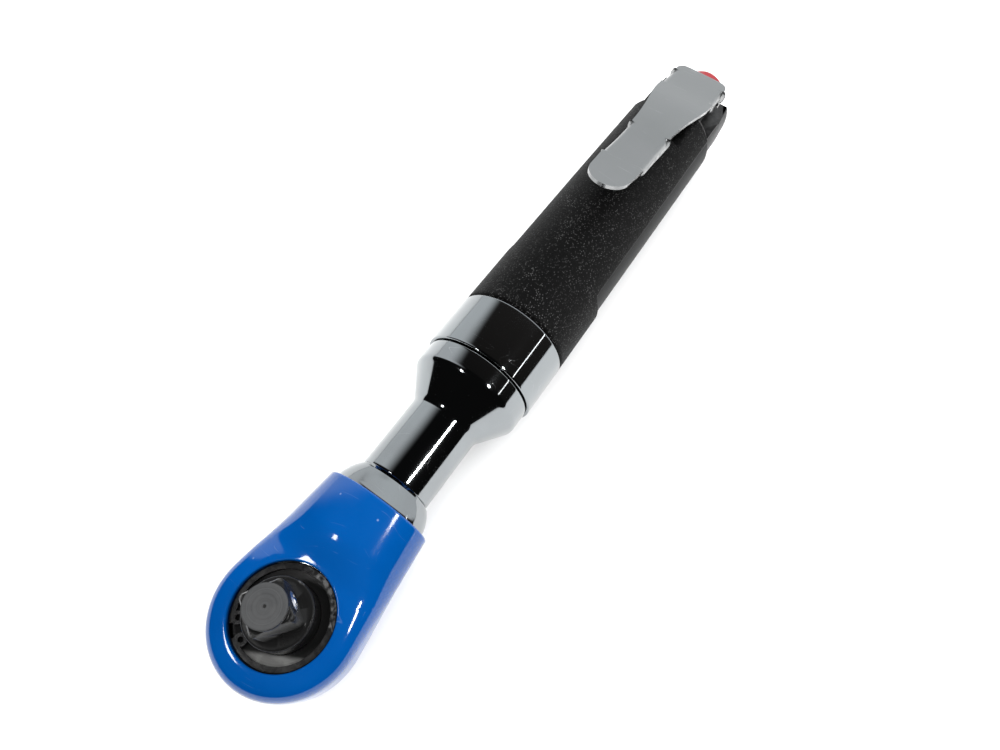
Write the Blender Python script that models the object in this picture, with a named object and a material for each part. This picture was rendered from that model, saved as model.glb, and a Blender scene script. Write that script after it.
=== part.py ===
"""Air ratchet with a 3/8 inch square drive, as an assembly of separate solids.

Lengths below are in millimetres in the tool frame, and the builders turn them into metres.
In the tool frame +X runs along the handle from the drive to the air inlet, +Z runs up the
drive, and the origin is where the drive's axis crosses the handle's axis. The empty "tool"
carries that frame, so that the assembly stands on z = 0 with its box centred on the origin.
"""

import math

import bmesh
import bpy
from mathutils import Matrix, Vector

MM = 0.001

# Overall layout along the handle.
HEAD_RADIUS = 18.0
PLUG_END = 218.0
MIDDLE = (PLUG_END - HEAD_RADIUS) / 2

# Protective boot and the head under it.
BOOT_REAR = 33.0
BOOT_WALL = 1.2
SIDE_SLOPE = 0.098
HEAD_TOP = 9.0
HEAD_BOTTOM = -10.5
REAR_HALF_HEIGHT = 11.75
OPENING_RADIUS = 12.1
KNOB_OPENING_RADIUS = 11.6
SKIN_GAP = 0.3

# Ratchet housing.
NECK_RADIUS = 9.95
NECK_START = 40.0
CONE_START = 61.0
CONE_END = 70.0
CONE_RADIUS = 16.1
SPIGOT_START = 76.25
SPIGOT_END = 86.2
SPIGOT_RADIUS = 14.6
HEAD_BORE_RADIUS = 11.8
HEAD_BORE_FLOOR = -5.9
CLIP_GROOVE_DEPTH = 0.6
CLIP_GROOVE_BOTTOM = 6.0
CLIP_GROOVE_TOP = 7.15
KNOB_STEM_HOLE = 6.7
YOKE_SLOT_HALF_WIDTH = 8.9
YOKE_SLOT_HALF_HEIGHT = 4.9
CRANK_BORE_RADIUS = 7.6
GEAR_BORE_RADIUS = 13.75

# Clamp nut, motor housing and grip.
NUT_START = 76.55
NUT_END = 93.0
NUT_RADIUS = 16.75
AXIS_HEIGHT = NUT_RADIUS
GRIP_START = 93.3
GRIP_END = 188.0
GRIP_BORE_RADIUS = 14.2
SIDE_BAND_START = 114.0
SIDE_BAND_ANGLE = 29.0
MOTOR_START = 86.6
MOTOR_END = 207.5
BODY_RADIUS = 13.9
TAPER_START = 199.0
TAPER_RADIUS = 13.2
MOTOR_BORE_RADIUS = 12.0
MOTOR_BORE_END = 138.0
LEVER_FLAT = 13.2
LEVER_FLAT_START = 173.0
LUG_START = 193.5
LUG_TOP = 11.3
LUG_REAR = 203.0
LUG_REAR_TOP = 10.3
LUG_HALF_WIDTH = 7.4
SHELF_HEIGHT = 5.8
SHELF_START = 190.0
EXHAUST_PORTS = ((-10.2, -1.5), (-8.3, -6.5), (8.3, -6.5), (10.2, -1.5))
EXHAUST_RADIUS = 1.6

# Throttle lever, its pin and the valve that it opens.
LEVER_THICKNESS = 1.3
LEVER_PROFILE = (
    (133.8, 27.7),
    (145.0, 24.9),
    (158.0, 22.3),
    (172.0, 20.3),
    (184.0, 17.8),
    (196.0, 14.6),
    (209.5, 11.6),
)
LEVER_WIDTHS = (
    (140.0, 6.2),
    (148.0, 6.6),
    (158.0, 6.4),
    (170.0, 6.6),
    (178.0, 7.5),
    (188.0, 9.1),
    (196.0, 9.3),
    (209.5, 8.9),
)
LEVER_NOSE_RADIUS = 6.2
FOLD_RADIUS = 1.7
PIVOT_X = 201.5
PIVOT_Z = 9.8
PIN_RADIUS = 1.0
VALVE_X = 184.0
STEM_RADIUS = 1.2
VALVE_CHAMBER_RADIUS = 4.2
VALVE_CHAMBER_TOP = 2.5
STEM_BORE_RADIUS = 2.9
BALL_RADIUS = 2.6
BALL_Z = -0.9

# Air inlet.
INLET_BORE_RADIUS = 7.9
INLET_FLOOR = 189.5
BUSHING_FACE = 211.5
BUSHING_BORE_RADIUS = 5.6
HEX_ACROSS_FLATS = 17.0

# Air motor.
CYLINDER_START = 86.8
CYLINDER_END = 128.8
CYLINDER_RADIUS = 11.7
CYLINDER_BORE = 9.1
BORE_OFFSET = 0.75
ROTOR_RADIUS = 8.2
VANES = 5
VANE_THICKNESS = 1.1
VANE_TIP = 8.2
VANE_ROOT = 4.9
DOWEL_Z = 10.1
DOWEL_HOLE_RADIUS = 0.95

# Planetary gears: pinion on the rotor, three planets, fixed ring.
GEAR_MODULE = 0.55
SUN_TEETH = 12
PLANET_TEETH = 15
RING_TEETH = 42
PLANETS = 3
PRESSURE_ANGLE = 25.0
ADDENDUM = 0.8 * GEAR_MODULE
DEDENDUM = 1.15 * GEAR_MODULE
BACKLASH = 0.1
ORBIT_RADIUS = GEAR_MODULE * (SUN_TEETH + PLANET_TEETH) / 2
GEAR_START = 72.0
GEAR_END = 79.2

# Crank, bushing and yoke.
THROW = 1.2
CRANK_PIN_RADIUS = 1.8
BUSHING_RADIUS = 2.9
YOKE_RADIUS = 11.4
YOKE_HALF_HEIGHT = 4.4
YOKE_TEETH = 60
TOOTH_ROOT = 9.9
TOOTH_TIP = 9.35
FORK_INSIDE = 5.5
FORK_OUTSIDE = 7.3
FORK_END = 24.3

# Anvil: square drive, pawl and detent.
SQUARE = 9.53
SQUARE_TURN = -32.0
BOSS_RADIUS = 8.0
BOSS_TOP = 12.9
SQUARE_TOP = 22.4
DRIVE_TIP = 24.0
TIP_RADIUS = 4.75
ANVIL_RADIUS = 9.0
DETENT_Z = 17.5
DETENT_BALL = 1.25
DETENT_REACH = 5.25
PAWL_PIVOT = 6.6
PAWL_TURN = 100.0
KNOB_RADIUS = 11.0
KNOB_BOTTOM = -16.65
FLUTES = 8

ROUND = 40
FINE = 24
SMALL = 16

MATERIALS = {
    "blue_boot": ((0.0, 0.09, 0.38), 0.22, 0.0),
    "chrome": ((0.72, 0.73, 0.74), 0.06, 1.0),
    "black_oxide": ((0.03, 0.03, 0.032), 0.35, 0.8),
    "grip_rubber": ((0.02, 0.02, 0.021), 0.75, 0.0),
    "black_housing": ((0.025, 0.025, 0.027), 0.45, 0.0),
    "lever_steel": ((0.46, 0.48, 0.48), 0.38, 1.0),
    "plug_red": ((0.5, 0.02, 0.03), 0.35, 0.0),
    "steel": ((0.5, 0.5, 0.51), 0.3, 1.0),
    "ball_steel": ((0.65, 0.65, 0.66), 0.12, 1.0),
    "spring_steel": ((0.4, 0.4, 0.42), 0.3, 1.0),
    "brass": ((0.6, 0.42, 0.16), 0.3, 1.0),
    "cast_iron": ((0.22, 0.22, 0.23), 0.5, 1.0),
    "vane_composite": ((0.24, 0.13, 0.06), 0.6, 0.0),
    "seal_rubber": ((0.02, 0.02, 0.02), 0.6, 0.0),
}


# ---------------------------------------------------------------- builders


def clear_scene():
    for obj in list(bpy.data.objects):
        bpy.data.objects.remove(obj, do_unlink=True)


def finish_material(name):
    material = bpy.data.materials.get(name)
    if material is None:
        colour, roughness, metallic = MATERIALS[name]
        material = bpy.data.materials.new(name)
        material.use_nodes = True
        shader = material.node_tree.nodes["Principled BSDF"]
        shader.inputs["Base Color"].default_value = (*colour, 1.0)
        shader.inputs["Roughness"].default_value = roughness
        shader.inputs["Metallic"].default_value = metallic
    return material


def add_empty(name, location, parent=None):
    empty = bpy.data.objects.new(name, None)
    empty.empty_display_size = 0.01
    empty.location = Vector(location) * MM
    empty.parent = parent
    bpy.context.scene.collection.objects.link(empty)
    return empty


def add_object(name, mesh_data, finish, parent, origin=(0.0, 0.0, 0.0)):
    """Turns a bmesh in millimetres into an object whose origin sits at the given point."""
    bmesh.ops.recalc_face_normals(mesh_data, faces=mesh_data.faces)
    shift = Matrix.Translation(-Vector(origin))
    bmesh.ops.transform(mesh_data, matrix=Matrix.Scale(MM, 4) @ shift, verts=mesh_data.verts)
    mesh = bpy.data.meshes.new(name)
    mesh_data.to_mesh(mesh)
    mesh_data.free()
    mesh.shade_smooth()
    mesh.set_sharp_from_angle(angle=math.radians(35))
    obj = bpy.data.objects.new(name, mesh)
    obj.location = Vector(origin) * MM
    obj.parent = parent
    if finish:
        mesh.materials.append(finish_material(finish))
    bpy.context.scene.collection.objects.link(obj)
    return obj


def boolean(target, tool_mesh, operation="DIFFERENCE"):
    """Adds a Boolean modifier with a hidden helper in the target's own parent frame."""
    name = f"{target.name}_helper_{len(target.modifiers)}"
    helper = add_object(name, tool_mesh, None, target.parent)
    helper.hide_render = True
    helper.display_type = "WIRE"
    modifier = target.modifiers.new(name, "BOOLEAN")
    modifier.operation = operation
    modifier.solver = "EXACT"
    modifier.object = helper


def turned(profile, axis="X", segments=ROUND, ring=False, centre=(0.0, 0.0, 0.0)):
    """Revolves (along, radius) points about an axis; ring closes the profile on itself."""
    mesh_data = bmesh.new()
    rings = []
    for along, radius in profile:
        count = 1 if radius == 0 else segments
        loop = []
        for step in range(count):
            angle = 2 * math.pi * step / segments
            across = (radius * math.cos(angle), radius * math.sin(angle))
            loop.append(mesh_data.verts.new(axis_point(axis, along, across, centre)))
        rings.append(loop)
    pairs = list(zip(rings, rings[1:]))
    if ring:
        pairs.append((rings[-1], rings[0]))
    for first, second in pairs:
        join_rings(mesh_data, first, second)
    if not ring:
        for end in (rings[0], rings[-1]):
            if len(end) > 1:
                mesh_data.faces.new(end)
    return mesh_data


def axis_point(axis, along, across, centre=(0.0, 0.0, 0.0)):
    first, second = across
    order = {"X": (along, first, second), "Y": (first, along, second), "Z": (first, second, along)}
    return Vector(order[axis]) + Vector(centre)


def join_rings(mesh_data, first, second):
    """Joins two loops of vertices of one count, or a loop and a single point, with faces."""
    count = max(len(first), len(second))
    for step in range(count):
        after = (step + 1) % count
        corners = [
            first[step % len(first)],
            first[after % len(first)],
            second[after % len(second)],
            second[step % len(second)],
        ]
        unique = []
        for corner in corners:
            if corner not in unique:
                unique.append(corner)
        if len(unique) > 2:
            mesh_data.faces.new(unique)


def lofted(sections):
    """Skins rings of points of one count and closes both ends."""
    mesh_data = bmesh.new()
    rings = [[mesh_data.verts.new(point) for point in section] for section in sections]
    for first, second in zip(rings, rings[1:]):
        join_rings(mesh_data, first, second)
    mesh_data.faces.new(rings[0])
    mesh_data.faces.new(rings[-1])
    return mesh_data


def prism(outline, start, stop, axis="Z", centre=(0.0, 0.0, 0.0)):
    """Extrudes a closed outline between two places along an axis."""
    sections = []
    for along in (start, stop):
        sections.append([axis_point(axis, along, point, centre) for point in outline])
    return lofted(sections)


def box(low, high):
    outline = [(low[0], low[1]), (high[0], low[1]), (high[0], high[1]), (low[0], high[1])]
    return prism(outline, low[2], high[2])


def turned_about_z(mesh_data, degrees):
    bmesh.ops.rotate(
        mesh_data,
        verts=mesh_data.verts,
        cent=(0, 0, 0),
        matrix=Matrix.Rotation(math.radians(degrees), 3, "Z"),
    )
    return mesh_data


def rod(axis, start, stop, radius, centre=(0.0, 0.0, 0.0), segments=SMALL, chamfer=0.0):
    """A round bar, with both ends chamfered if asked for."""
    if chamfer:
        profile = [(start, radius - chamfer), (start + chamfer, radius)]
        profile += [(stop - chamfer, radius), (stop, radius - chamfer)]
    else:
        profile = [(start, radius), (stop, radius)]
    return turned(profile, axis, segments, centre=centre)


def tube(axis, start, stop, inner, outer, centre=(0.0, 0.0, 0.0), segments=FINE, chamfer=0.0):
    """A plain ring, bearing or bushing."""
    profile = [(start, inner), (stop, inner), (stop, outer - chamfer)]
    if chamfer:
        profile += [(stop - chamfer, outer), (start + chamfer, outer)]
    profile.append((start, outer - chamfer))
    return turned(profile, axis, segments, ring=True, centre=centre)


def torus(axis, along, major, minor, segments=24, sides=8):
    profile = []
    for side in range(sides):
        angle = 2 * math.pi * side / sides
        profile.append((along + minor * math.sin(angle), major + minor * math.cos(angle)))
    return turned(profile, axis, segments, ring=True)


def ball(centre, radius, segments=16, rings=8):
    profile = []
    for ring_index in range(rings + 1):
        angle = math.pi * ring_index / rings
        across = radius * math.sin(angle) if 0 < ring_index < rings else 0
        profile.append((-radius * math.cos(angle), across))
    return turned(profile, "Z", segments, centre=centre)


def coil_spring(name, start, end, radius, wire, turns, parent, finish="spring_steel"):
    """A curve with a round bevel that winds from start to end, closed at both tips."""
    start = Vector(start)
    end = Vector(end)
    along = (end - start).normalized()
    side = along.orthogonal().normalized()
    up = along.cross(side)
    steps_per_turn = 8
    count = turns * steps_per_turn
    curve = bpy.data.curves.new(name, "CURVE")
    curve.dimensions = "3D"
    curve.bevel_depth = wire * MM
    curve.bevel_resolution = 1
    curve.use_fill_caps = True
    spline = curve.splines.new("POLY")
    spline.points.add(count)
    for step in range(count + 1):
        angle = 2 * math.pi * step / steps_per_turn
        place = start.lerp(end, step / count)
        place += radius * (math.cos(angle) * side + math.sin(angle) * up)
        spline.points[step].co = (*(place * MM), 1.0)
    curve.materials.append(finish_material(finish))
    spring = bpy.data.objects.new(name, curve)
    spring.parent = parent
    bpy.context.scene.collection.objects.link(spring)
    return spring


def smoothstep(low, high, value):
    share = min(max((value - low) / (high - low), 0.0), 1.0)
    return share * share * (3 - 2 * share)


def along_points(points, value):
    """Smooth curve through (place, height) points, with Catmull-Rom slopes."""
    if value <= points[0][0]:
        return points[0][1]
    for index in range(len(points) - 1):
        x_low, y_low = points[index]
        x_high, y_high = points[index + 1]
        if value <= x_high:
            span = x_high - x_low
            share = (value - x_low) / span
            slope_low = slope_at(points, index) * span
            slope_high = slope_at(points, index + 1) * span
            square = share * share
            cube = square * share
            return (
                y_low * (2 * cube - 3 * square + 1)
                + slope_low * (cube - 2 * square + share)
                + y_high * (3 * square - 2 * cube)
                + slope_high * (cube - square)
            )
    return points[-1][1]


def slope_at(points, index):
    before = points[max(index - 1, 0)]
    after = points[min(index + 1, len(points) - 1)]
    return (after[1] - before[1]) / (after[0] - before[0])


# ---------------------------------------------------------------- head form


def head_section(place, inset):
    """Half-width, top, bottom and squareness of the head at a place along the handle."""
    width = math.sqrt(1 + SIDE_SLOPE**2) * HEAD_RADIUS - SIDE_SLOPE * max(place, 0.0)
    tangent = HEAD_RADIUS * math.sin(math.atan(SIDE_SLOPE))
    if place < tangent:
        width = math.sqrt(HEAD_RADIUS**2 - max(place, 0.0) ** 2)
    rise = smoothstep(11.0, 29.0, place)
    top = HEAD_TOP + (REAR_HALF_HEIGHT - HEAD_TOP) * rise - inset
    bottom = HEAD_BOTTOM - (REAR_HALF_HEIGHT + HEAD_BOTTOM) * rise + inset
    power = 6.0 - 3.6 * smoothstep(6.0, 26.0, place)
    return width - inset, top, bottom, power


def rib_points(width, top, bottom, power, count):
    """(outward, height) points from the top centre to the bottom centre."""
    points = []
    for step in range(count + 1):
        angle = math.pi * step / count
        outward = width * abs(math.sin(angle)) ** (2 / power) if 0 < step < count else 0.0
        height = abs(math.cos(angle)) ** (2 / power)
        points.append((outward, top * height if angle <= math.pi / 2 else bottom * height))
    return points


def head_form(inset, rear, extra=(), ribs=10, fan=10, rows=(0, 5, 10, 14, 18, 22, 27)):
    """Puck that grows into an oval barrel; extra adds (place, width, top, bottom, power)."""
    places = [place for place in rows if place < rear - 1] + [rear]
    sections = [(place, *head_section(place, inset)) for place in places] + list(extra)
    mesh_data = bmesh.new()
    for side in (1, -1):
        strips = []
        for place, width, top, bottom, power in sections:
            rib = rib_points(width, top, bottom, power, ribs)
            strips.append([mesh_data.verts.new((place, side * out, up)) for out, up in rib])
        skin_strips(mesh_data, strips)
    width, top, bottom, power = head_section(0.0, inset)
    strips = []
    for step in range(fan + 1):
        angle = math.pi / 2 + math.pi * step / fan
        rib = rib_points(width, top, bottom, power, ribs)
        strip = []
        for out, up in rib:
            strip.append(mesh_data.verts.new((out * math.cos(angle), out * math.sin(angle), up)))
        strips.append(strip)
    skin_strips(mesh_data, strips)
    bmesh.ops.remove_doubles(mesh_data, verts=mesh_data.verts, dist=1e-4)
    bmesh.ops.dissolve_degenerate(mesh_data, dist=1e-4, edges=mesh_data.edges)
    bmesh.ops.holes_fill(mesh_data, edges=mesh_data.edges, sides=0)
    return mesh_data


def skin_strips(mesh_data, strips):
    for first, second in zip(strips, strips[1:]):
        for step in range(len(first) - 1):
            mesh_data.faces.new((first[step], first[step + 1], second[step + 1], second[step]))


def make_boot(tool):
    boot = add_object("protective_boot", head_form(0.0, BOOT_REAR), "blue_boot", tool)
    boolean(boot, head_form(BOOT_WALL, BOOT_REAR + 4))
    boolean(boot, turned([(2.0, OPENING_RADIUS), (20.0, OPENING_RADIUS)], "Z"))
    boolean(boot, turned([(-20.0, KNOB_OPENING_RADIUS), (-2.0, KNOB_OPENING_RADIUS)], "Z"))


def make_ratchet_housing(tool):
    inset = BOOT_WALL + SKIN_GAP
    shoulder = [
        (35.0, 12.9, 10.35, -10.35, 2.25),
        (37.5, 11.7, 10.2, -10.2, 2.1),
        (NECK_START, NECK_RADIUS, NECK_RADIUS, -NECK_RADIUS, 2.0),
    ]
    barrel = []
    for place, radius in (
        (CONE_START, NECK_RADIUS),
        (CONE_END, CONE_RADIUS),
        (SPIGOT_START, CONE_RADIUS),
        (SPIGOT_START, SPIGOT_RADIUS),
        (SPIGOT_END, SPIGOT_RADIUS),
    ):
        barrel.append((place, radius, radius, -radius, 2.0))
    form = head_form(inset, BOOT_REAR, shoulder + barrel)
    housing = add_object("ratchet_housing", form, "chrome", tool)
    groove_radius = HEAD_BORE_RADIUS + CLIP_GROOVE_DEPTH
    head_bore = [
        (HEAD_BORE_FLOOR, HEAD_BORE_RADIUS),
        (CLIP_GROOVE_BOTTOM, HEAD_BORE_RADIUS),
        (CLIP_GROOVE_BOTTOM, groove_radius),
        (CLIP_GROOVE_TOP, groove_radius),
        (CLIP_GROOVE_TOP, HEAD_BORE_RADIUS),
        (14.0, HEAD_BORE_RADIUS),
    ]
    boolean(housing, turned(head_bore, "Z"))
    boolean(housing, rod("Z", -14.0, HEAD_BORE_FLOOR + 1.0, KNOB_STEM_HOLE, segments=FINE))
    slot_corner = Vector((28.0, YOKE_SLOT_HALF_WIDTH, YOKE_SLOT_HALF_HEIGHT))
    boolean(housing, box((5.0, -slot_corner.y, -slot_corner.z), slot_corner))
    crank_bore = [
        (25.0, CRANK_BORE_RADIUS),
        (62.0, CRANK_BORE_RADIUS),
        (66.3, 11.2),
        (71.3, 11.2),
        (71.3, GEAR_BORE_RADIUS),
        (SPIGOT_END + 2.0, GEAR_BORE_RADIUS),
    ]
    boolean(housing, turned(crank_bore, "X", FINE))


# ---------------------------------------------------------------- handle shells


def make_clamp_nut(tool):
    chamfer = 0.5
    profile = [
        (NUT_START, SPIGOT_RADIUS + 0.3),
        (90.8, SPIGOT_RADIUS + 0.3),
        (90.8, BODY_RADIUS + 0.3),
        (NUT_END, BODY_RADIUS + 0.3),
        (NUT_END, NUT_RADIUS - chamfer),
        (NUT_END - chamfer, NUT_RADIUS),
        (NUT_START + chamfer, NUT_RADIUS),
        (NUT_START, NUT_RADIUS - chamfer),
    ]
    add_object("clamp_nut", turned(profile, "X", ROUND, ring=True), "chrome", tool)


def make_motor_housing(tool):
    profile = [
        (MOTOR_START, SPIGOT_RADIUS),
        (90.5, SPIGOT_RADIUS),
        (90.5, BODY_RADIUS),
        (TAPER_START, BODY_RADIUS),
        (MOTOR_END, TAPER_RADIUS),
    ]
    housing = add_object("motor_housing", turned(profile, "X", ROUND), "black_housing", tool)
    boolean(housing, rod("X", MOTOR_START - 2, MOTOR_BORE_END, MOTOR_BORE_RADIUS, segments=FINE))
    boolean(housing, box((LUG_START, -20, LUG_TOP), (MOTOR_END + 2, 20, 20)))
    boolean(housing, box((LUG_REAR, -20, LUG_REAR_TOP), (MOTOR_END + 2, 20, 20)))
    boolean(housing, box((LEVER_FLAT_START, -20, LEVER_FLAT), (LUG_START + 1, 20, 20)))
    for side in (-1, 1):
        near, far = sorted((side * LUG_HALF_WIDTH, side * 20.0))
        boolean(housing, box((SHELF_START, near, SHELF_HEIGHT), (MOTOR_END + 2, far, 20)))
    boolean(housing, rod("X", INLET_FLOOR, MOTOR_END + 2, INLET_BORE_RADIUS, segments=FINE))
    boolean(housing, rod("X", VALVE_X, INLET_FLOOR + 1, 3.2, centre=(0, 0, -1.2)))
    valve_bore = [
        (-16.0, VALVE_CHAMBER_RADIUS),
        (VALVE_CHAMBER_TOP, VALVE_CHAMBER_RADIUS),
        (VALVE_CHAMBER_TOP, STEM_BORE_RADIUS),
        (16.0, STEM_BORE_RADIUS),
    ]
    boolean(housing, turned(valve_bore, "Z", SMALL, centre=(VALVE_X, 0, 0)))
    boolean(housing, rod("X", MOTOR_BORE_END - 1, VALVE_X, 1.8, centre=(0, 0, 4.6)))
    for across, height in EXHAUST_PORTS:
        port = rod("X", MOTOR_BORE_END - 1, MOTOR_END + 2, EXHAUST_RADIUS, (0, across, height), 12)
        boolean(housing, port)
    boolean(housing, rod("Y", -12, 12, PIN_RADIUS + 0.1, centre=(PIVOT_X, 0, PIVOT_Z)))


def make_grip(tool):
    outer = [
        (GRIP_START + 0.6, 16.6),
        (SIDE_BAND_START, 16.5),
        (150.0, 16.1),
        (GRIP_END - 0.6, 15.5),
        (GRIP_END, 14.9),
        (GRIP_END, GRIP_BORE_RADIUS),
        (GRIP_START, GRIP_BORE_RADIUS),
        (GRIP_START, 16.0),
    ]
    grip = add_object("grip_sleeve", turned(outer, "X", ROUND, ring=True), "grip_rubber", tool)
    steps = 8
    for side in (0, 180):
        sections = []
        for place, floor in ((SIDE_BAND_START, 15.75), (GRIP_END + 1, 15.0)):
            outline = []
            for step in range(steps + 1):
                angle = side + SIDE_BAND_ANGLE * (2 * step / steps - 1)
                outline.append(polar(floor, angle))
            for step in range(steps + 1):
                angle = side + SIDE_BAND_ANGLE * (1 - 2 * step / steps)
                outline.append(polar(19.0, angle))
            sections.append([axis_point("X", place, point) for point in outline])
        boolean(grip, lofted(sections))
    boolean(grip, box((LEVER_FLAT_START, -12, LEVER_FLAT), (GRIP_END + 1, 12, 20)))


def polar(radius, degrees):
    return radius * math.cos(math.radians(degrees)), radius * math.sin(math.radians(degrees))


# ---------------------------------------------------------------- throttle


def lever_flange(place):
    """(share of the fold, length below the fold) of the lever's side flange at a place."""
    mid = smoothstep(147.5, 148.6, place) * (1 - smoothstep(165.4, 166.5, place))
    ear = smoothstep(193.9, 195.0, place) * (1 - smoothstep(206.8, 208.4, place))
    mid_length = 0.9 + 0.6 * smoothstep(150.0, 165.0, place)
    lobe = math.sqrt(max(0.0, 1 - ((place - PIVOT_X) / 7.0) ** 2))
    return max(mid, ear), mid * mid_length + ear * (1.0 + 2.6 * lobe)


def lever_half_width(place):
    nose = LEVER_PROFILE[0][0] + LEVER_NOSE_RADIUS
    if place < nose:
        return math.sqrt(max(LEVER_NOSE_RADIUS**2 - (nose - place) ** 2, 0.0))
    width = along_points(LEVER_WIDTHS, place)
    corner = 2.0
    rear = LEVER_PROFILE[-1][0] - corner
    if place > rear:
        width -= corner - math.sqrt(max(corner**2 - (place - rear) ** 2, 0.0))
    return width


def lever_section(place):
    """Half of the lever's cross-section, from the middle outwards, as (out, height)."""
    width = max(lever_half_width(place), 1.2)
    top = along_points(LEVER_PROFILE, place)
    share, length = lever_flange(place)
    fold = math.pi / 2 * share
    radius = FOLD_RADIUS
    start = width - radius * math.sin(fold) if share else width - 0.6
    points = [(0.0, top), (start * 0.6, top)]
    if not share:
        return points + [(start, top), (start + 0.2, top), (start + 0.4, top), (width, top)]
    for step in range(3):
        angle = fold * step / 2
        points.append((start + radius * math.sin(angle), top - radius * (1 - math.cos(angle))))
    out, height = points[-1]
    points.append((out + length * math.cos(fold), height - length * math.sin(fold)))
    return points


def make_lever(tool):
    places = [133.9, 134.6, 136.0, 138.5, 142.0, 147.5, 148.6, 157.0, 165.4, 166.5, 172.0]
    places += [178.0, 184.0, 190.0, 193.9, 195.0, 198.0, 201.5, 205.0, 206.8, 208.4, 209.0, 209.5]
    mesh_data = bmesh.new()
    strips = []
    for place in places:
        half = lever_section(place)
        across = [(-out, height) for out, height in reversed(half[1:])] + half
        strips.append([mesh_data.verts.new((place, out, height)) for out, height in across])
    skin_strips(mesh_data, strips)
    pivot = (PIVOT_X, 0.0, PIVOT_Z)
    lever = add_object("throttle_lever", mesh_data, "lever_steel", tool, pivot)
    solid = lever.modifiers.new("plate", "SOLIDIFY")
    solid.thickness = LEVER_THICKNESS * MM
    solid.offset = -1.0
    solid.use_even_offset = False
    boolean(lever, rod("Y", -12, 12, PIN_RADIUS + 0.1, centre=(PIVOT_X, 0, PIVOT_Z)))
    pin = rod("Y", -9.9, 9.9, PIN_RADIUS, pivot, chamfer=0.3)
    add_object("lever_pin", pin, "steel", tool)


def make_valve(tool):
    centre = (VALVE_X, 0.0, 0.0)
    stem = [(1.85, STEM_RADIUS), (14.6, STEM_RADIUS), (14.6, 2.0), (15.3, 2.0), (15.7, 1.4)]
    add_object("valve_stem", turned(stem, "Z", SMALL, centre=centre), "steel", tool, centre)
    add_object("valve_ball", ball((VALVE_X, 0, BALL_Z), BALL_RADIUS), "ball_steel", tool, centre)
    bushing = tube("Z", 8.3, 12.5, STEM_RADIUS + 0.08, 2.8, centre, SMALL)
    add_object("stem_bushing", bushing, "brass", tool)
    seal = torus("Z", 7.3, 2.05, 0.7, 20)
    bmesh.ops.translate(seal, verts=seal.verts, vec=centre)
    add_object("stem_seal", seal, "seal_rubber", tool)
    add_object("valve_seat", tube("Z", 1.0, 2.4, 1.9, 4.1, centre, SMALL), "brass", tool)
    coil_spring("valve_spring", (VALVE_X, 0, -2.5), (VALVE_X, 0, -8.3), 2.5, 0.3, 4, tool)
    plug = [
        (-13.6, 3.6),
        (-13.1, 4.1),
        (-11.0, 4.1),
        (-11.0, 3.2),
        (-10.0, 3.2),
        (-10.0, 4.1),
        (-8.9, 4.1),
    ]
    valve_plug = add_object("valve_plug", turned(plug, "Z", SMALL, centre=centre), "steel", tool)
    boolean(valve_plug, box((VALVE_X - 5, -0.6, -15), (VALVE_X + 5, 0.6, -12.6)))
    ring = torus("Z", -10.5, 3.68, 0.4, 20)
    bmesh.ops.translate(ring, verts=ring.verts, vec=centre)
    add_object("plug_seal", ring, "seal_rubber", tool)


# ---------------------------------------------------------------- air inlet


def hexagon(across_flats):
    return [polar(across_flats / math.sqrt(3), 60 * step) for step in range(6)]


def make_inlet(tool):
    stem = rod("X", 190.5, 208.5, INLET_BORE_RADIUS - 0.2, segments=FINE)
    bushing = add_object("inlet_bushing", stem, "steel", tool)
    boolean(bushing, prism(hexagon(HEX_ACROSS_FLATS), 207.8, BUSHING_FACE, "X"), "UNION")
    boolean(bushing, rod("X", 189, 214, BUSHING_BORE_RADIUS, segments=FINE))
    screen = add_object("inlet_screen", rod("X", 189.7, 190.3, 7.4, segments=FINE), "brass", tool)
    boolean(screen, rod("X", 189, 191, 1.1, segments=8))
    for step in range(6):
        hole = polar(3.4, 60 * step)
        boolean(screen, rod("X", 189, 191, 1.1, (0, *hole), 8))
    plug = [
        (199.0, 4.6),
        (200.0, 5.3),
        (BUSHING_FACE + 0.3, 5.45),
        (BUSHING_FACE + 0.3, 7.1),
        (PLUG_END - 1.0, 7.1),
        (PLUG_END - 0.2, 6.6),
        (PLUG_END, 5.9),
        (PLUG_END, 4.4),
        (PLUG_END - 4.0, 4.0),
        (PLUG_END - 4.0, 0.0),
    ]
    origin = (BUSHING_FACE, 0.0, 0.0)
    add_object("inlet_plug", turned(plug, "X", FINE), "plug_red", tool, origin)


# ---------------------------------------------------------------- air motor


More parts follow.
